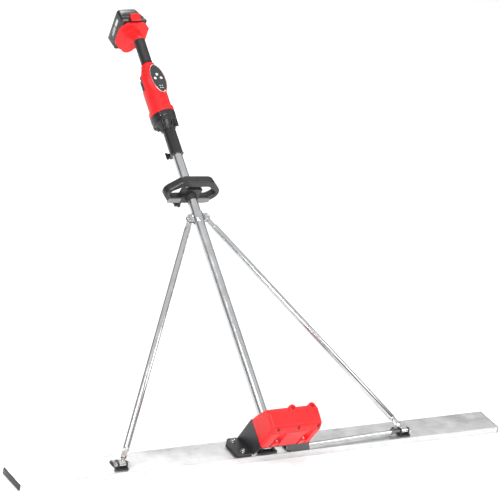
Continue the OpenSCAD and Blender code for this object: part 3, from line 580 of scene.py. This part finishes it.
def set_stage():
    world = bpy.data.worlds.new("studio")
    scene.world = world
    world.use_nodes = True
    nodes, links = world.node_tree.nodes, world.node_tree.links
    direction = nodes.new("ShaderNodeTexCoord").outputs["Generated"]
    parts = nodes.new("ShaderNodeSeparateXYZ")
    links.new(direction, parts.inputs["Vector"])
    ramp = nodes.new("ShaderNodeValToRGB")
    links.new(parts.outputs["Z"], ramp.inputs["Fac"])
    stops = ((0.0, 0.10), (0.16, 0.16), (0.34, 0.42), (0.60, 0.95), (1.0, 1.0))
    for height, _ in stops[1:-1]:
        ramp.color_ramp.elements.new(height)
    for stop, (height, level) in zip(ramp.color_ramp.elements, stops):
        stop.position, stop.color = height, (level, level, level, 1)
    links.new(ramp.outputs["Color"], nodes["Background"].inputs["Color"])
    nodes["Background"].inputs["Strength"].default_value = 0.9
    middle = (0, 0.2, 0.3)
    soft_light("front", (-1.26, -3.85, 2.33), middle, 1.3, 110)
    soft_light("key", (-2.4, -1.4, 3.4), middle, 1.6, 70)
    soft_light("fill", (2.8, -2.4, 2.4), middle, 1.2, 30)
    soft_light("rim", (0.8, 3.0, 2.8), middle, 1.4, 55)
    bm = bmesh.new()
    bmesh.ops.create_grid(bm, x_segments=8, y_segments=8, size=14)
    mesh = bpy.data.meshes.new("floor")
    bm.to_mesh(mesh)
    bm.free()
    floor = bpy.data.objects.new("floor", mesh)
    scene.collection.objects.link(floor)
    floor.location = (0, 0, -0.0006)
    t = Tree("floor")
    tone = t.mix(t.span(t.noise(3, 3), 0.3, 0.7, 0.0, 1.0), (0.94, 0.94, 0.94), (0.96, 0.96, 0.96))
    floor.data.materials.append(t.finish(tone, t.span(t.noise(60, 3), 0.3, 0.7, 0.7, 0.8), specular=0.2))
    scene.view_settings.view_transform = "Standard"


# ------------------------------------------------------------------ CAD nodes that stay

ROUNDING = {"bracket": 1.2, "bracket_pads": 1.0, "motor_cradle": 0.8, "collar_halves": 0.7,
            "trigger": 2.0, "coupling_sleeve": 1.2, "sleeve_knob": 1.2, "handle_cap": 3.0,
            "trigger_well": 0.5, "battery_top": 2.0, "outer_feet": 0.8, "centre_foot": 0.8, "pole_foot": 0.8}


def finish_nodes():
    """Every CAD node gets its detailed material and small rounded edges."""
    for row in frame["record"]["subparts"]:
        obj = frame["nodes"][row["node"]]
        obj.data.materials.clear()
        obj.data.materials.append(M[row["material_slot"]])
        weld = obj.modifiers.new("weld", "WELD")
        weld.merge_threshold = 0.01 * MM
        soften(obj, ROUNDING.get(row["node"], 0.3), 3 if row["node"] in ROUNDING else 2)


# ------------------------------------------------------------------ vibrator cover

COVER_X0, COVER_X1 = -53, 101
BASE_V = 92.1
COVER_OUTLINE = [(-25, BASE_V), (-21, 131), (-19, 160), (-9, 181), (34, 184), (46, 179), (53, 160), (58, 125),
                 (60, BASE_V)]
END_OUTLINE = [(-14, 104), (-12, 150), (-3, 172), (31, 175), (43, 152), (49, 110), (44, 101)]
FLUTES, FLUTE_U, FLUTE_R = (-14, 70), -25, 13
POSTS, POST_U = (-35, 28, 90), -11
REAR, REAR_U = (22, 83), 41


def square_to_face(x, u, v=0):
    """Frame on the inclined face: z square to it."""
    return leaning(u, v) @ shift(x, 0, 0) @ turn(90, "X")


def along_x(outline, stations):
    """Loops of a (u, v) outline carried along x, each (x, how far the outline is drawn in)."""
    return [[(x, -v, u) for u, v in inset(outline, d)] for x, d in stations]


def uv_block(stations, outline, radius):
    shape = rounded(outline, radius)
    return tool(lambda bm: skin(bm, along_x(shape, stations)), leaning())


def make_cover():
    ends = [(COVER_X0, 4.4), (COVER_X0 + 1.0, 2.4), (COVER_X0 + 3.2, 0.7), (COVER_X0 + 6, 0), (COVER_X1 - 6, 0),
            (COVER_X1 - 3.2, 0.7), (COVER_X1 - 1.0, 2.4), (COVER_X1, 4.4)]
    body = uv_block(ends, COVER_OUTLINE, [0.5, 12, 12, 12, 9, 9, 12, 12, 0.5])
    bosses = [tool(lambda bm, x=x: spin(bm, square_to_face(x, REAR_U, 0), 11, 168, 186.6, 2.2))
              for x in REAR]
    carve(body, bosses, "UNION")
    cuts = []
    for x in FLUTES:
        trough = [(FLUTE_R, 80)] + [(FLUTE_R, v) for v in (100, 120, 140, 158)]
        trough += [(FLUTE_R * cos(radians(a)), 158 + FLUTE_R * sin(radians(a))) for a in range(10, 90, 10)]
        trough += [(0.2, 158 + FLUTE_R)]
        cuts.append(tool(lambda bm, x=x, p=trough: stamp(bm, square_to_face(x, FLUTE_U, 0), lathe, p)))
    ledge = [tool(lambda bm, x=x: spin(bm, square_to_face(x, FLUTE_U + 4, 0), 9.5, 92.1, 112.6, 0.6))
             for x in FLUTES]
    carve(body, cuts)
    carve(body, ledge, "UNION")
    trim = [tool(lambda bm: cuboid(bm, (-60, -200, -45), (110, -60, -25.2)), leaning())]
    cuts = trim + [tool(lambda bm, x=x, u=u, v=v: spin(bm, square_to_face(x, u, 0), 4.3, v, 200, 0.2))
                   for x, u, v in [(x, POST_U, 165) for x in POSTS] + [(x, REAR_U, 175) for x in REAR]]
    cuts += [uv_block([(a, 0), (b, 0)], END_OUTLINE, 4) for a, b in
             ((COVER_X0 - 1, COVER_X0 + 1.8), (COVER_X1 - 1.8, COVER_X1 + 1))]
    carve(body, cuts)
    remesh(body, 0.8, 5)
    place = leaning()
    adopt("vibrator_cover_shell", take(body, place), "blade", "red_plastic", place,
          stands_for=["vibrator_cover"], hide_edges=60)


def shrunk(outline, k):
    """The outline scaled about its middle."""
    mx, my = sum(p[0] for p in outline) / len(outline), sum(p[1] for p in outline) / len(outline)
    return [(mx + (x - mx) * k, my + (y - my) * k) for x, y in outline]


def end_plate(bm, x0, x1, rise):
    """Recessed end plate: a chamfered rim round a low raised field."""
    shape = rounded(END_OUTLINE, 4)
    stations = [(x1, 1.004), (x0, 1.004), (x0, 0.95), (x0 - rise, 0.92), (x0 - rise, 0.5), (x0 - rise, 0.05)]
    skin(bm, [[(x, -v, u) for u, v in shrunk(shape, k)] for x, k in stations])


def make_end_plates():
    def both(bm):
        end_plate(bm, COVER_X0 + 0.9, COVER_X0 + 2.6, 0.5)
        end_plate(bm, COVER_X1 - 0.9, COVER_X1 - 2.6, -0.5)
    build("cover_end_panels", both, "blade", "red_plastic", leaning(), 0.25,
          stands_for=["cover_end_plates"])


def long_screw(bm, head_v, tip_v):
    socket_head(bm, 4, head_v, head_v + 3, 1.9, 2.2)
    thread(bm, 2.5, tip_v, head_v + 0.2, 0.8, 16)


def make_cover_screws():
    def sunk(bm):
        for x in POSTS:
            stamp(bm, square_to_face(x, POST_U), long_screw, 166, 84)
        for x in REAR:
            stamp(bm, square_to_face(x, REAR_U), long_screw, 176, 163)

    def open_ones(bm):
        for x in FLUTES:
            stamp(bm, square_to_face(x, FLUTE_U + 7), long_screw, 113, 84)
    build("cover_sunk_screws", sunk, "blade", "dark_steel", stands_for=["cover_screws"])
    build("cover_flute_screws", open_ones, "blade", "zinc_steel")


# ------------------------------------------------------------------ bolts on the blade

BRACKET_BOLTS = [(-76, 24), (-76, -31), (76, 26), (76, -25)]
FOOT_SCREWS = [(x + dx, 2) for x in (-FOOT_X, FOOT_X) for dx in (-9, 9)] + [(-20, 7), (20, 7)]


def make_blade():
    """The bar stands for a hollow extrusion whose cells the end plugs close."""
    section = rounded([(-BLADE_Y, 0), (BLADE_Y, 0), (BLADE_Y, BLADE_H), (-BLADE_Y, BLADE_H)], 1.8, 6)
    bar_x = BLADE_X - CAP_T

    def bar(bm):
        stations = [(-bar_x, 0.5), (0.5 - bar_x, 0), (bar_x - 0.5, 0), (bar_x, 0.5)]
        skin(bm, [[(x, y, z) for y, z in (inset(section, d) if d else section)] for x, d in stations])

    def caps(bm):
        for side in (-1, 1):
            stations = [(bar_x + 0.05, 0.0), (748.6, 0.0), (749.6, 0.5), (BLADE_X, 1.5)]
            skin(bm, [[(side * x, y, z) for y, z in inset(section, d)] for x, d in stations])
            for y in (-30.33, 0, 30.33):
                stamp(bm, shift(side * 733, y, 9) @ turn(90 * side, "Y"), skin,
                      [lifted(rounded([(-6.8, -13.9), (6.8, -13.9), (6.8, 13.9), (-6.8, 13.9)], 1, 3), z)
                       for z in (0, 14)])
    build("blade_bar", bar, "blade", "blade_metal", stands_for=["screed_blade"])
    build("blade_end_plugs", caps, "blade", "black_plastic", stands_for=["blade_end_caps"])


def make_blade_bolts():
    def bracket_bolt(bm):
        washer(bm, 8, 4.1, 28, 29.4)
        socket_head(bm, 6.6, 29.4, 34, 3.0, 3.0)
        thread(bm, 4, 8, 29.5, 1.25)

    def foot_screw(bm):
        socket_head(bm, 4.6, 22, 25, 1.9, 1.9)
        thread(bm, 2.5, 8, 22.1, 0.8, 16)

    def row(places, fill):
        return lambda bm: [stamp(bm, shift(x, y, 0), fill) for x, y in places]

    build("bracket_socket_bolts", row(BRACKET_BOLTS, bracket_bolt), "blade", "zinc_steel",
          stands_for=["bracket_bolts"])
    build("foot_socket_screws", row(FOOT_SCREWS, foot_screw), "blade", "zinc_steel", stands_for=["foot_screws"])


def make_pivot_bolts():
    def bolt(bm, gap):
        out = gap + 4
        hex_block(bm, 7.2, -out - 5.5, -out - 0.1, both=True)
        thread(bm, 4, -out - 0.5, out + 9, 1.25)

    def nut(bm, z):
        hex_block(bm, 7.2, z, z + 6, 4.05, both=True)

    def all_of_them(bm):
        for x, gap in ((0, 15.4), (-FOOT_X, 10.4)):
            stamp(bm, shift(x, HINGE_Y, HINGE_Z) @ turn(90, "Y"), bolt, gap)
        for x, gap in ((0, 15.4), (-FOOT_X, 10.4), (FOOT_X, 10.4)):
            stamp(bm, shift(x, HINGE_Y, HINGE_Z) @ turn(90, "Y"), nut, gap + 4.1)
    build("pivot_bolt_set", all_of_them, "blade", "zinc_steel", stands_for=["pivot_bolts"])


def make_stay_rod():
    start, end = (101, -38, 30), (400, HINGE_Y, HINGE_Z)
    reach = (Vector(end) - Vector(start)).length
    place = aimed(start, end)

    def rod(bm):
        pipe(bm, Matrix(), 6, 4.6, 0.4, reach, 0.3, 40)

    def fitting(bm):
        back = aimed(end, start)
        plug = [(7.9, -3.1), (8.4, -2.6), (8.4, -0.7), (7.6, -0.1), (4.4, 0), (4.4, 10.5), (3.9, 11)]
        stamp(bm, back, lathe, plug)
        level = shift(0, HINGE_Y, HINGE_Z) @ turn(90, "Y")
        stamp(bm, level, thread, 4, 400, 465.4, 1.25)
        stamp(bm, level, hex_block, 7.5, 405, 411, 0, True)
        stamp(bm, level, washer, 7.2, 4, 403.6, 404.8)
    build("stay_tube", rod, "blade", "pole_metal", place, stands_for=["stay_rod"])
    build("stay_threaded_end", fitting, "blade", "dark_steel", stands_for=["stay_rod_end"])


# ------------------------------------------------------------------ pole, collar and braces

def make_pole():
    build("pole_tube", lambda bm: pipe(bm, Matrix(), POLE_R, POLE_R - 1.5, 34, 940, 0.5, 72), "pole",
          "pole_metal", leaning(0, POLE_V), stands_for=["pole"])


def make_collar_bolts():
    def bolt(bm):
        skin(bm, [hex_loop(7.2, 5.8), hex_loop(7.2, 10.2), hex_loop(7.2, 10.9, 6.4), circle(4.2, 10.9),
                  circle(3.4, 10.4), circle(3.2, 9.4)])
        thread(bm, 4, -17.5, 6.4, 1.25)
        hex_block(bm, 7.2, -15.1, -9.1, 4.05, both=True)

    def pair(bm):
        for x in (-EAR_X, EAR_X):
            stamp(bm, on_pole(COLLAR_U) @ shift(x, 0, 0) @ turn(90, "X"), bolt)
    build("collar_hex_bolts", pair, "pole", "zinc_steel", stands_for=["collar_bolts"])


def brace_ends(side):
    top = on_pole(COLLAR_U) @ Vector((side * EAR_X * MM, 0, 0))
    return Vector((side * FOOT_X, HINGE_Y, HINGE_Z)), top / MM


def brace_frame(side):
    """Frame from the brace's foot to its top; its x axis is square to the collar's ears."""
    foot, top = brace_ends(side)
    plain = aimed(foot, top)
    normal = leaning().to_3x3() @ Vector((0, -1, 0))
    local = plain.to_3x3().transposed() @ normal
    return plain @ Matrix.Rotation(atan2(local.y, local.x), 4, "Z"), (top - foot).length


def make_brace(side, name, node):
    place, reach = brace_frame(side)
    flat = reach - 30

    def tube(bm):
        stations = [(48, 8.6, 8.6), (48.5, 9, 9), (flat - 5, 9, 9), (flat - 2, 8.6, 8.6),
                    (flat - 0.6, 7.2, 7.2), (flat - 0.1, 5, 5)]
        skin(bm, [lifted(superellipse(a, b, 2.0, 64), t) for t, a, b in stations])
        stations = [(flat - 3, 1.9, 7.9), (reach - 3, 1.9, 8.1), (reach - 2, 1.6, 7.8)]
        skin(bm, [lifted(superellipse(a, b, 8.0, 64), t) for t, a, b in stations])
        eye = place.inverted() @ on_pole(COLLAR_U) @ shift(side * EAR_X, 0, 0) @ turn(90, "X")
        spin(bm, eye, 9.4, -1.95, 1.95, 0.4, 64)
    build(name, tube, "pole", "pole_metal", place, stands_for=[node], hide_edges=40)


def make_rod_ends():
    def rod_end(bm, side):
        foot, top = brace_ends(side)
        along = aimed(foot, top)
        barrel = shift(side * FOOT_X, HINGE_Y, HINGE_Z) @ turn(90, "Y")
        pipe(bm, barrel, 7.5, 4.1, -10, 10, 0.5, 40)
        stamp(bm, along, thread, 4, 6.8, 24, 1.25)
        stamp(bm, along @ turn(-20 * side, "Z"), hex_block, 8, 18, 25, 0, True)
        strap = along @ turn(-20 * side, "Z")
        stations = [(22, 2.5, 8, 6), (36, 2.5, 8, 6), (43, 4.6, 8.4, 3), (46.5, 9, 9, 2), (47.9, 9, 9, 2)]
        stamp(bm, strap, skin, [lifted(superellipse(a, b, p, 48), t) for t, a, b, p in stations])

    def both(bm):
        rod_end(bm, -1)
        rod_end(bm, 1)
    build("brace_threaded_ends", both, "pole", "zinc_steel", stands_for=["brace_rod_ends"])


# ------------------------------------------------------------------ loop handle

LOOP = [(48, 56), (102, 8), (61, -30), (-61, -30), (-102, 8), (-48, 56)]
LOOP_GAP = [(44, 32), (82, 9), (58, -7), (-58, -7), (-82, 9), (-44, 32)]
BOLT_X = 22.1


def make_loop():
    outer = [(x, -y) for x, y in rounded(LOOP, [30, 24, 14, 14, 24, 30], 8)]
    inner = [(x, -y) for x, y in rounded(LOOP_GAP, [16, 9, 7, 7, 9, 16], 8)]
    steps = ((-12, 4.2), (-11.2, 2.2), (-9.4, 0.7), (-7, 0), (7, 0), (9.4, 0.7), (11.2, 2.2), (12, 4.2))
    loops = [lifted(inset(outer, d), z) for z, d in steps]
    loops += [lifted(inset(inner, -d), z) for z, d in reversed(steps)]
    body = tool(lambda bm: skin(bm, loops, ring=True), HANDLE)
    block = tool(lambda bm: cuboid(bm, (-26, 0, -12), (26, 20, 12), 2), HANDLE)
    ribs = [tool(lambda bm, x=x: spin(bm, HANDLE @ shift(x, -57.2, 0), 1.6, -6.5, 6.5, 0.6, 16))
            for x in range(-42, 43, 4)]
    carve(body, [block], "UNION")
    carve(body, ribs)
    bore = tool(lambda bm: spin(bm, on_pole(HANDLE_U - 60), 16.1, 0, 120, 0.1, 72))
    bolts = [tool(lambda bm, x=x: spin(bm, HANDLE @ shift(x, 0, 0) @ turn(90, "X"), 3.4, -60, 20, 0.1, 24))
             for x in (-BOLT_X, BOLT_X)]
    pads = [tool(lambda bm, s=s: cuboid(bm, (s * 49 - 22, 10, -13.5), (s * 49 + 22, 27, -10), 3), HANDLE)
            for s in (-1, 1)]
    carve(body, [bore] + bolts + pads)
    remesh(body, 0.7, 4)
    adopt("loop_handle_moulding", take(body, HANDLE), "handle", "black_plastic", HANDLE,
          stands_for=["loop_handle"], hide_edges=60)

    def grey_pads(bm):
        for s in (-1, 1):
            shape = rounded([(s * 49 - 21.5, 10.5), (s * 49 + 21.5, 10.5), (s * 49 + 21.5, 26.5),
                             (s * 49 - 21.5, 26.5)], 3, 5)
            skin(bm, [lifted(shape, -10.05), lifted(shape, -11.4), lifted(inset(shape, 0.7), -11.8),
                      lifted(inset(shape, 3.0), -11.85)])
    build("handle_grip_pads", grey_pads, "handle", "grey_plastic", HANDLE, stands_for=["handle_pads"])


def make_clamp():
    def bolts(bm):
        for x in (-BOLT_X, BOLT_X):
            place = shift(x, 0, 0) @ turn(90, "X")
            stamp(bm, place, hex_block, 5.5, 24, 28, 0, True)
            stamp(bm, place, thread, 3, -33, 24.5, 1.0, 20)
    build("clamp_hex_bolts", bolts, "handle", "zinc_steel", HANDLE, stands_for=["clamp_bolt"])

    def knob(bm):
        stations = [(0, 0, 6.6), (0.6, 0, 7.0), (6.0, 0, 7.0), (6.6, 0.6, 9.0), (7.6, 1, 10.6), (9, 1, 11.2),
                    (13.5, 1, 11.0), (15, 1, 10.2), (15.8, 0.8, 8.8), (16, 0.4, 6.0)]
        loops = []
        for z, lobes, r in stations:
            loops.append([((r + 2.1 * lobes * cos(5 * a)) * cos(a), (r + 2.1 * lobes * cos(5 * a)) * sin(a), z)
                          for a in (2 * pi * k / 80 for k in range(80))])
        skin(bm, loops)
    build("clamp_lobed_knob", knob, "clamp_knob", "black_plastic",
          HANDLE @ shift(-BOLT_X, 30.3, 0) @ turn(-90, "X"), stands_for=["clamp_knob"], hide_edges=50)


# ------------------------------------------------------------------ control head

def column(a, b, u0, u1, y=8.0, edge=1.5):
    """Oval column on the pole axis with rounded rims."""
    stations = ((u0, edge), (u0 + edge * 0.3, edge * 0.3), (u0 + edge, 0), (u1 - edge, 0),
                (u1 - edge * 0.3, edge * 0.3), (u1, edge))
    loops = [lifted(superellipse(a - e, b - e, 2.0, 96, 0, y), u) for u, e in stations]
    return tool(lambda bm: skin(bm, loops), leaning(0, POLE_V))


def taper(stations):
    """Round tube form from (u, radius, y) stations."""
    loops = [lifted(superellipse(r, r, 2.0, 96, 0, y), u) for u, r, y in stations]
    return tool(lambda bm: skin(bm, loops), leaning(0, POLE_V))


def pole_block(low, high, r=0.0):
    return tool(lambda bm: cuboid(bm, low, high, r), leaning(0, POLE_V))


def make_nose():
    parts = [column(33, 40, 968, 982), column(34, 41, 981.4, 995.9, 8, 1.0),
             taper([(946, 20.6, 2), (947, 21.2, 2), (956, 24.6, 2), (970, 30.8, 2)])]
    for k in range(6):
        rib = on_pole(0) @ turn(k * 60 + 30, "Z")
        place = rib @ shift(18, -1.5, 950)
        parts.append(tool(lambda bm, place=place: stamp(bm, place, cuboid, (0, 0, 0), (12.6, 3, 23), 1)))
    whole = melt(parts, 0.8, 3)
    cuts = [tool(lambda bm: spin(bm, on_pole(0), 18.35, 930, 950.1, 0.05, 72)),
            tool(lambda bm: spin(bm, on_pole(0), 14.1, 930, 1010, 0.05, 72))]
    cuts += [tool(lambda bm, x=x, y=y: spin(bm, on_pole(0) @ shift(x, y, 0), 3.7, 955, 1010, 0.05, 32))
             for x, y in NOSE_SCREWS]
    carve(whole, cuts)
    place = on_pole(0)
    adopt("nose_moulding", take(whole, place), "head", "black_plastic", place, stands_for=["nose_cone"],
          hide_edges=40)


def make_body():
    swell = ((-22, 23.6, 47.6), (-8, 24.2, 48.2), (-2.4, 24.2, 48.2), (-0.8, 23.4, 47.4), (-0.1, 22.2, 46.2))
    parts = [column(34, 41, BODY_U, 1011, 8, 1.2), column(30, 37, BODY_U, 1123, 8, 3),
             taper([(1119, 28.9, 5), (1123, 28.0, 4), (1130, 24.4, 4), (1138, 21.4, 3.4), (1145, 19.6, 1),
                    (1151, 19.4, 0), (1152, 18.8, 0)]),
             tool(lambda bm: skin(bm, [lifted(superellipse(a, b, 2.0, 96), z) for z, a, b in swell]), PANEL),
             pole_block((-5, 8, 1148), (5, 17.9, 1231), 2),
             tool(lambda bm: spin(bm, on_pole(0), 12.4, 1148, 1238, 0.3, 64))]
    whole = melt(parts, 0.9, 7)
    cuts = [pole_block((-50, 5, 1078), (50, 80, 1123), 0),
            tool(lambda bm: skin(bm, [lifted(superellipse(21.6, 45.6, 2.0, 96), z) for z in (-3, 12)]), PANEL),
            tool(lambda bm: spin(bm, on_pole(0), 21, 990, 1014, 0.1, 72))]
    carve(whole, cuts)
    place = on_pole(0)
    mesh = take(whole, place)
    for side, name, node in ((-1, "body_left_shell", "body_left"), (1, "body_right_shell", "body_right")):
        bm = bmesh.new()
        bm.from_mesh(mesh)
        cut = bmesh.ops.bisect_plane(bm, geom=bm.verts[:] + bm.edges[:] + bm.faces[:], dist=1e-7,
                                     plane_co=(side * 0.12 * MM, 0, 0), plane_no=(-side, 0, 0),
                                     clear_outer=True)
        rim = [g for g in cut["geom_cut"] if isinstance(g, bmesh.types.BMEdge)]
        bmesh.ops.edgenet_fill(bm, edges=rim)
        bmesh.ops.recalc_face_normals(bm, faces=bm.faces)
        part = bpy.data.meshes.new(name)
        bm.to_mesh(part)
        bm.free()
        adopt(name, part, "head", "red_plastic", place, stands_for=[node], hide_edges=42)


def make_grip():
    """Ribbed sleeve, open along its back where the body's spine passes."""
    outer_n, rings, rows = 60, 148, []
    for k in range(rings + 1):
        z = GRIP_U + (GRIP_END - GRIP_U) * k / rings
        ribbed = GRIP_U + 4 < z < GRIP_END - 4
        rib = 0.55 * max(0.0, cos(2 * pi * (z - GRIP_U) / 5)) ** 0.5 if ribbed else 0.55
        end = min(1.0, (z - GRIP_U) / 1.2, (GRIP_END - z) / 1.2)
        r = 15.4 + rib - 0.9 * (1 - max(end, 0)) ** 2
        gap, inner_gap = 5.3 / r, 5.3 / 12.5
        loop = []
        for i in range(outer_n + 1):
            a = radians(90) + gap + (2 * pi - 2 * gap) * i / outer_n
            loop.append((r * cos(a), r * sin(a), z))
        for i in range(outer_n + 1):
            a = radians(90) - inner_gap - (2 * pi - 2 * inner_gap) * i / outer_n
            loop.append((12.5 * cos(a), 12.5 * sin(a), z))
        rows.append(loop)
    build("grip_ribbed_sleeve", lambda bm: skin(bm, rows), "head", "grip_rubber", on_pole(0),
          stands_for=["grip_sleeve"], hide_edges=50)


def make_panel():
    def face(bm):
        stations = ((-3, 0), (-0.9, 0), (-0.45, 0.4), (-0.4, 1.4), (-0.4, 10), (-0.4, 19))
        skin(bm, [lifted(superellipse(PANEL_A - d, PANEL_B - d, 2.0, 96), z) for z, d in stations])
        rim = [lifted(superellipse(PANEL_A - d, PANEL_B - d, 2.0, 96), z) for z, d in
               ((-0.42, 3.4), (-0.30, 3.8), (-0.30, 4.4), (-0.42, 4.8))]
        skin(bm, rim, ring=True)
    build("display_face", face, "head", "panel_black", PANEL, stands_for=["display_panel"])

    def ring(bm):
        profile = ((-2.9, 1.5), (-0.2, 1.5), (0.45, 1.3), (0.7, 0.9), (0.5, 0.45), (0.0, 0.15), (-2.9, 0.1))
        skin(bm, [lifted(superellipse(PANEL_A + d, PANEL_B + d, 2.0, 128), z) for z, d in profile], ring=True)
    build("panel_rim", ring, "head", "bezel_silver", PANEL, stands_for=["panel_bezel"])

    def lenses(bm):
        profile = [(1.6, -3), (1.7, -2.6), (1.7, -0.5), (1.4, -0.25), (0.2, -0.2)]
        for x in (-3.5, 3.5):
            for y in (-24, -31):
                stamp(bm, shift(x, y, 0), lathe, profile, 24)
    build("panel_indicator_lenses", lenses, "head", "button_white", PANEL, stands_for=["panel_lenses"])


def make_buttons():
    def cap(bm):
        lathe(bm, [(5.2, -4.7), (5.4, -4.4), (5.4, -3.3), (4.0, -3.2), (4.0, 0.3), (3.7, 0.62), (3.1, 0.72),
                   (0.2, 0.66)])

    def bar(bm, angle, length):
        c, s = cos(radians(angle)), sin(radians(angle))
        outline = [(x * c - y * s, x * s + y * c) for x, y in rounded(
            [(-length, -0.28), (length, -0.28), (length, 0.28), (-length, 0.28)], 0.2, 3)]
        skin(bm, [lifted(outline, 0.6), lifted(outline, 0.79)])

    def arc(bm):
        points = [radians(120 + 300 * k / 20) for k in range(21)]
        outline = [(1.9 * cos(a), 1.9 * sin(a)) for a in points]
        outline += [(1.45 * cos(a), 1.45 * sin(a)) for a in reversed(points)]
        skin(bm, [lifted(outline, 0.6), lifted(outline, 0.79)])

    signs = {"power": lambda bm: (arc(bm), stamp(bm, shift(0, 1.2, 0), bar, 90, 0.9)),
             "minus": lambda bm: bar(bm, 0, 1.7),
             "plus": lambda bm: (bar(bm, 0, 1.7), bar(bm, 90, 1.7))}
    rows = (("power", "panel_button_power", 0, 13), ("minus", "panel_buttons_minus", -9.5, 1),
            ("plus", "panel_buttons_plus", 9.5, 1))
    for kind, node, x, y in rows:
        place = PANEL @ shift(x, y, 0)
        build("button_cap_" + kind, cap, "button_" + kind, "button_white", place, stands_for=[node])
        build("button_sign_" + kind, signs[kind], "button_" + kind, "grey_plastic", place)


def make_nose_screws():
    def screw(bm):
        socket_head(bm, 3.4, 0, 3, 1.7, 1.9)
        thread(bm, 1.8, -22, 0.3, 0.7, 16)

    def four(bm):
        for x, y in NOSE_SCREWS:
            stamp(bm, on_pole(985) @ shift(x, y, 0) @ turn(180, "X"), screw)
    build("nose_socket_screws", four, "head", "zinc_steel", stands_for=["nose_screws"])


# ------------------------------------------------------------------ battery

def box_loop(half_x, y0, y1, z, r, steps=8):
    return lifted(rounded([(-half_x, y0), (half_x, y0), (half_x, y1), (-half_x, y1)], r, steps), z)


def make_battery():
    stations = [(49.4, 36.2, -30.2, 66.2, 7), (50.2, 37, -31, 67, 8), (58.6, 37, -31.8, 69.6, 8),
                (60.4, 36.9, -31.9, 70, 8), (61.2, 36.2, -31.3, 69.6, 8), (62.2, 36.2, -31.2, 69.8, 8),
                (63, 36.1, -31.7, 70.5, 9), (90, 31.9, -29.6, 76.2, 10), (95.5, 31, -28.4, 76.6, 10),
                (98.4, 29, -26.4, 75.6, 9), (99.2, 26.6, -24, 73.4, 8)]
    case = tool(lambda bm: skin(bm, [box_loop(a, b, c, z, r) for z, a, b, c, r in stations]), PACK)
    grooves = []
    for side in (-1, 1):
        for y in (-14, 52):
            grooves.append(tool(lambda bm, side=side, y=y: cuboid(
                bm, (side * 36.6 - 1.6, y - 1.2, 66), (side * 36.6 + 1.6, y + 1.2, 88), 0.8), PACK))
    carve(case, grooves)
    adopt("battery_case_shell", take(case, PACK), "battery", "black_plastic", PACK, 0.4,
          stands_for=["battery_case"], hide_edges=40)

    def wall_x(z):
        """Half width of the case, whose walls lean in."""
        return 37 - 6 * (z - 60.4) / 38.6

    def label(bm):
        for side in (-1, 1):
            for y0, y1, z0, z1 in ((-10, 12, 68, 80), (16, 44, 68, 71), (16, 44, 73, 76), (16, 36, 78, 80)):
                outline = rounded([(y0, z0), (y1, z0), (y1, z1), (y0, z1)], 1.8, 5)
                skin(bm, [[(side * wall_x(z) + side * d, y, z) for y, z in outline] for d in (-0.8, -0.16)])
    build("battery_blank_label", label, "battery", "button_white", PACK)

    def tab(bm):
        stations = [(-46, 48.5, 53.5, 13.6), (-45.4, 47.6, 54.0, 14.6), (-40.5, 41.5, 54.2, 15),
                    (-36, 35.6, 54.2, 15), (-34.2, 34.2, 53.8, 14.6)]
        loops = []
        for y, z0, z1, half in stations:
            corners = [(-half, z0), (half, z0), (half, z1), (-half, z1)]
            loops.append([(x, y, z) for x, z in rounded(corners, 1.2, 4)])
        skin(bm, loops)
        cuboid(bm, (-13.5, -34.6, 40.4), (13.5, -28.5, 47.4), 0.8)
        for k in range(5):
            z = 38.6 + 2.6 * k
            y = -34.9 - (z - 34.4) * 0.78
            stamp(bm, shift(0, y + 0.2, z) @ turn(90, "Y"), lathe,
                  [(0.3, -9.4), (0.7, -9), (0.7, 9), (0.3, 9.4)], 12)
    build("release_tab_moulding", tab, "release_tab", "red_plastic", PACK, 0.3,
          stands_for=["release_button"])


PLATE = [(28, -28), (47, -9), (47, 39), (26, 62), (-26, 62), (-47, 39), (-47, -9), (-28, -28)]


def make_receiver():
    shape = rounded(PLATE, 8, 6)
    rims = ((30, 1.4), (30.5, 0.4), (31.6, 0), (37.2, 0), (38.4, 0.5), (39, 1.6))
    plate = tool(lambda bm: skin(bm, [lifted(inset(shape, d), z) for z, d in rims]), PACK)
    loops = []
    for k in range(9):
        t = k / 8
        ease = t * t * (3 - 2 * t)
        r = 16.9 + 9 * t ** 2.2
        low = on_pole(1232.4) @ shift(0, 2, 0)
        high = PACK @ shift(0, 16, 31)
        ring = []
        for i in range(96):
            a = 2 * pi * i / 96
            flat = Vector((r * cos(a) * MM, r * sin(a) * MM, 0))
            ring.append((low @ flat).lerp(high @ flat, t if k in (0, 8) else 0.15 * ease + 0.85 * t) / MM)
        loops.append(ring)
    neck = tool(lambda bm: skin(bm, loops))
    lobe = tool(lambda bm: spin(bm, PACK @ shift(0, 51, 0), 23.9, 30.1, 38.9, 2.0, 72))
    whole = melt([plate, neck, lobe], 0.9, 6)
    cuts = [tool(lambda bm: spin(bm, on_pole(0), 12.6, 1150, 1239, 0.1, 64))]
    cuts += [tool(lambda bm, s=s: cuboid(bm, (s * 20 - 1.5, -14, 35), (s * 20 + 1.5, 26, 43), 0.8), PACK)
             for s in (-1, 1)]
    carve(whole, cuts)
    adopt("receiver_moulding", take(whole, PACK), "head", "red_plastic", PACK, stands_for=["battery_receiver"],
          hide_edges=42)


# ------------------------------------------------------------------ the whole object

set_camera()
set_stage()
finish_nodes()
make_cover()
make_end_plates()
make_cover_screws()
make_blade()
make_blade_bolts()
make_pivot_bolts()
make_stay_rod()
make_pole()
make_collar_bolts()
make_brace(-1, "brace_tube_left", "brace_left")
make_brace(1, "brace_tube_right", "brace_right")
make_rod_ends()
make_loop()
make_clamp()
make_nose()
make_body()
make_grip()
make_panel()
make_buttons()
make_nose_screws()
make_battery()
make_receiver()
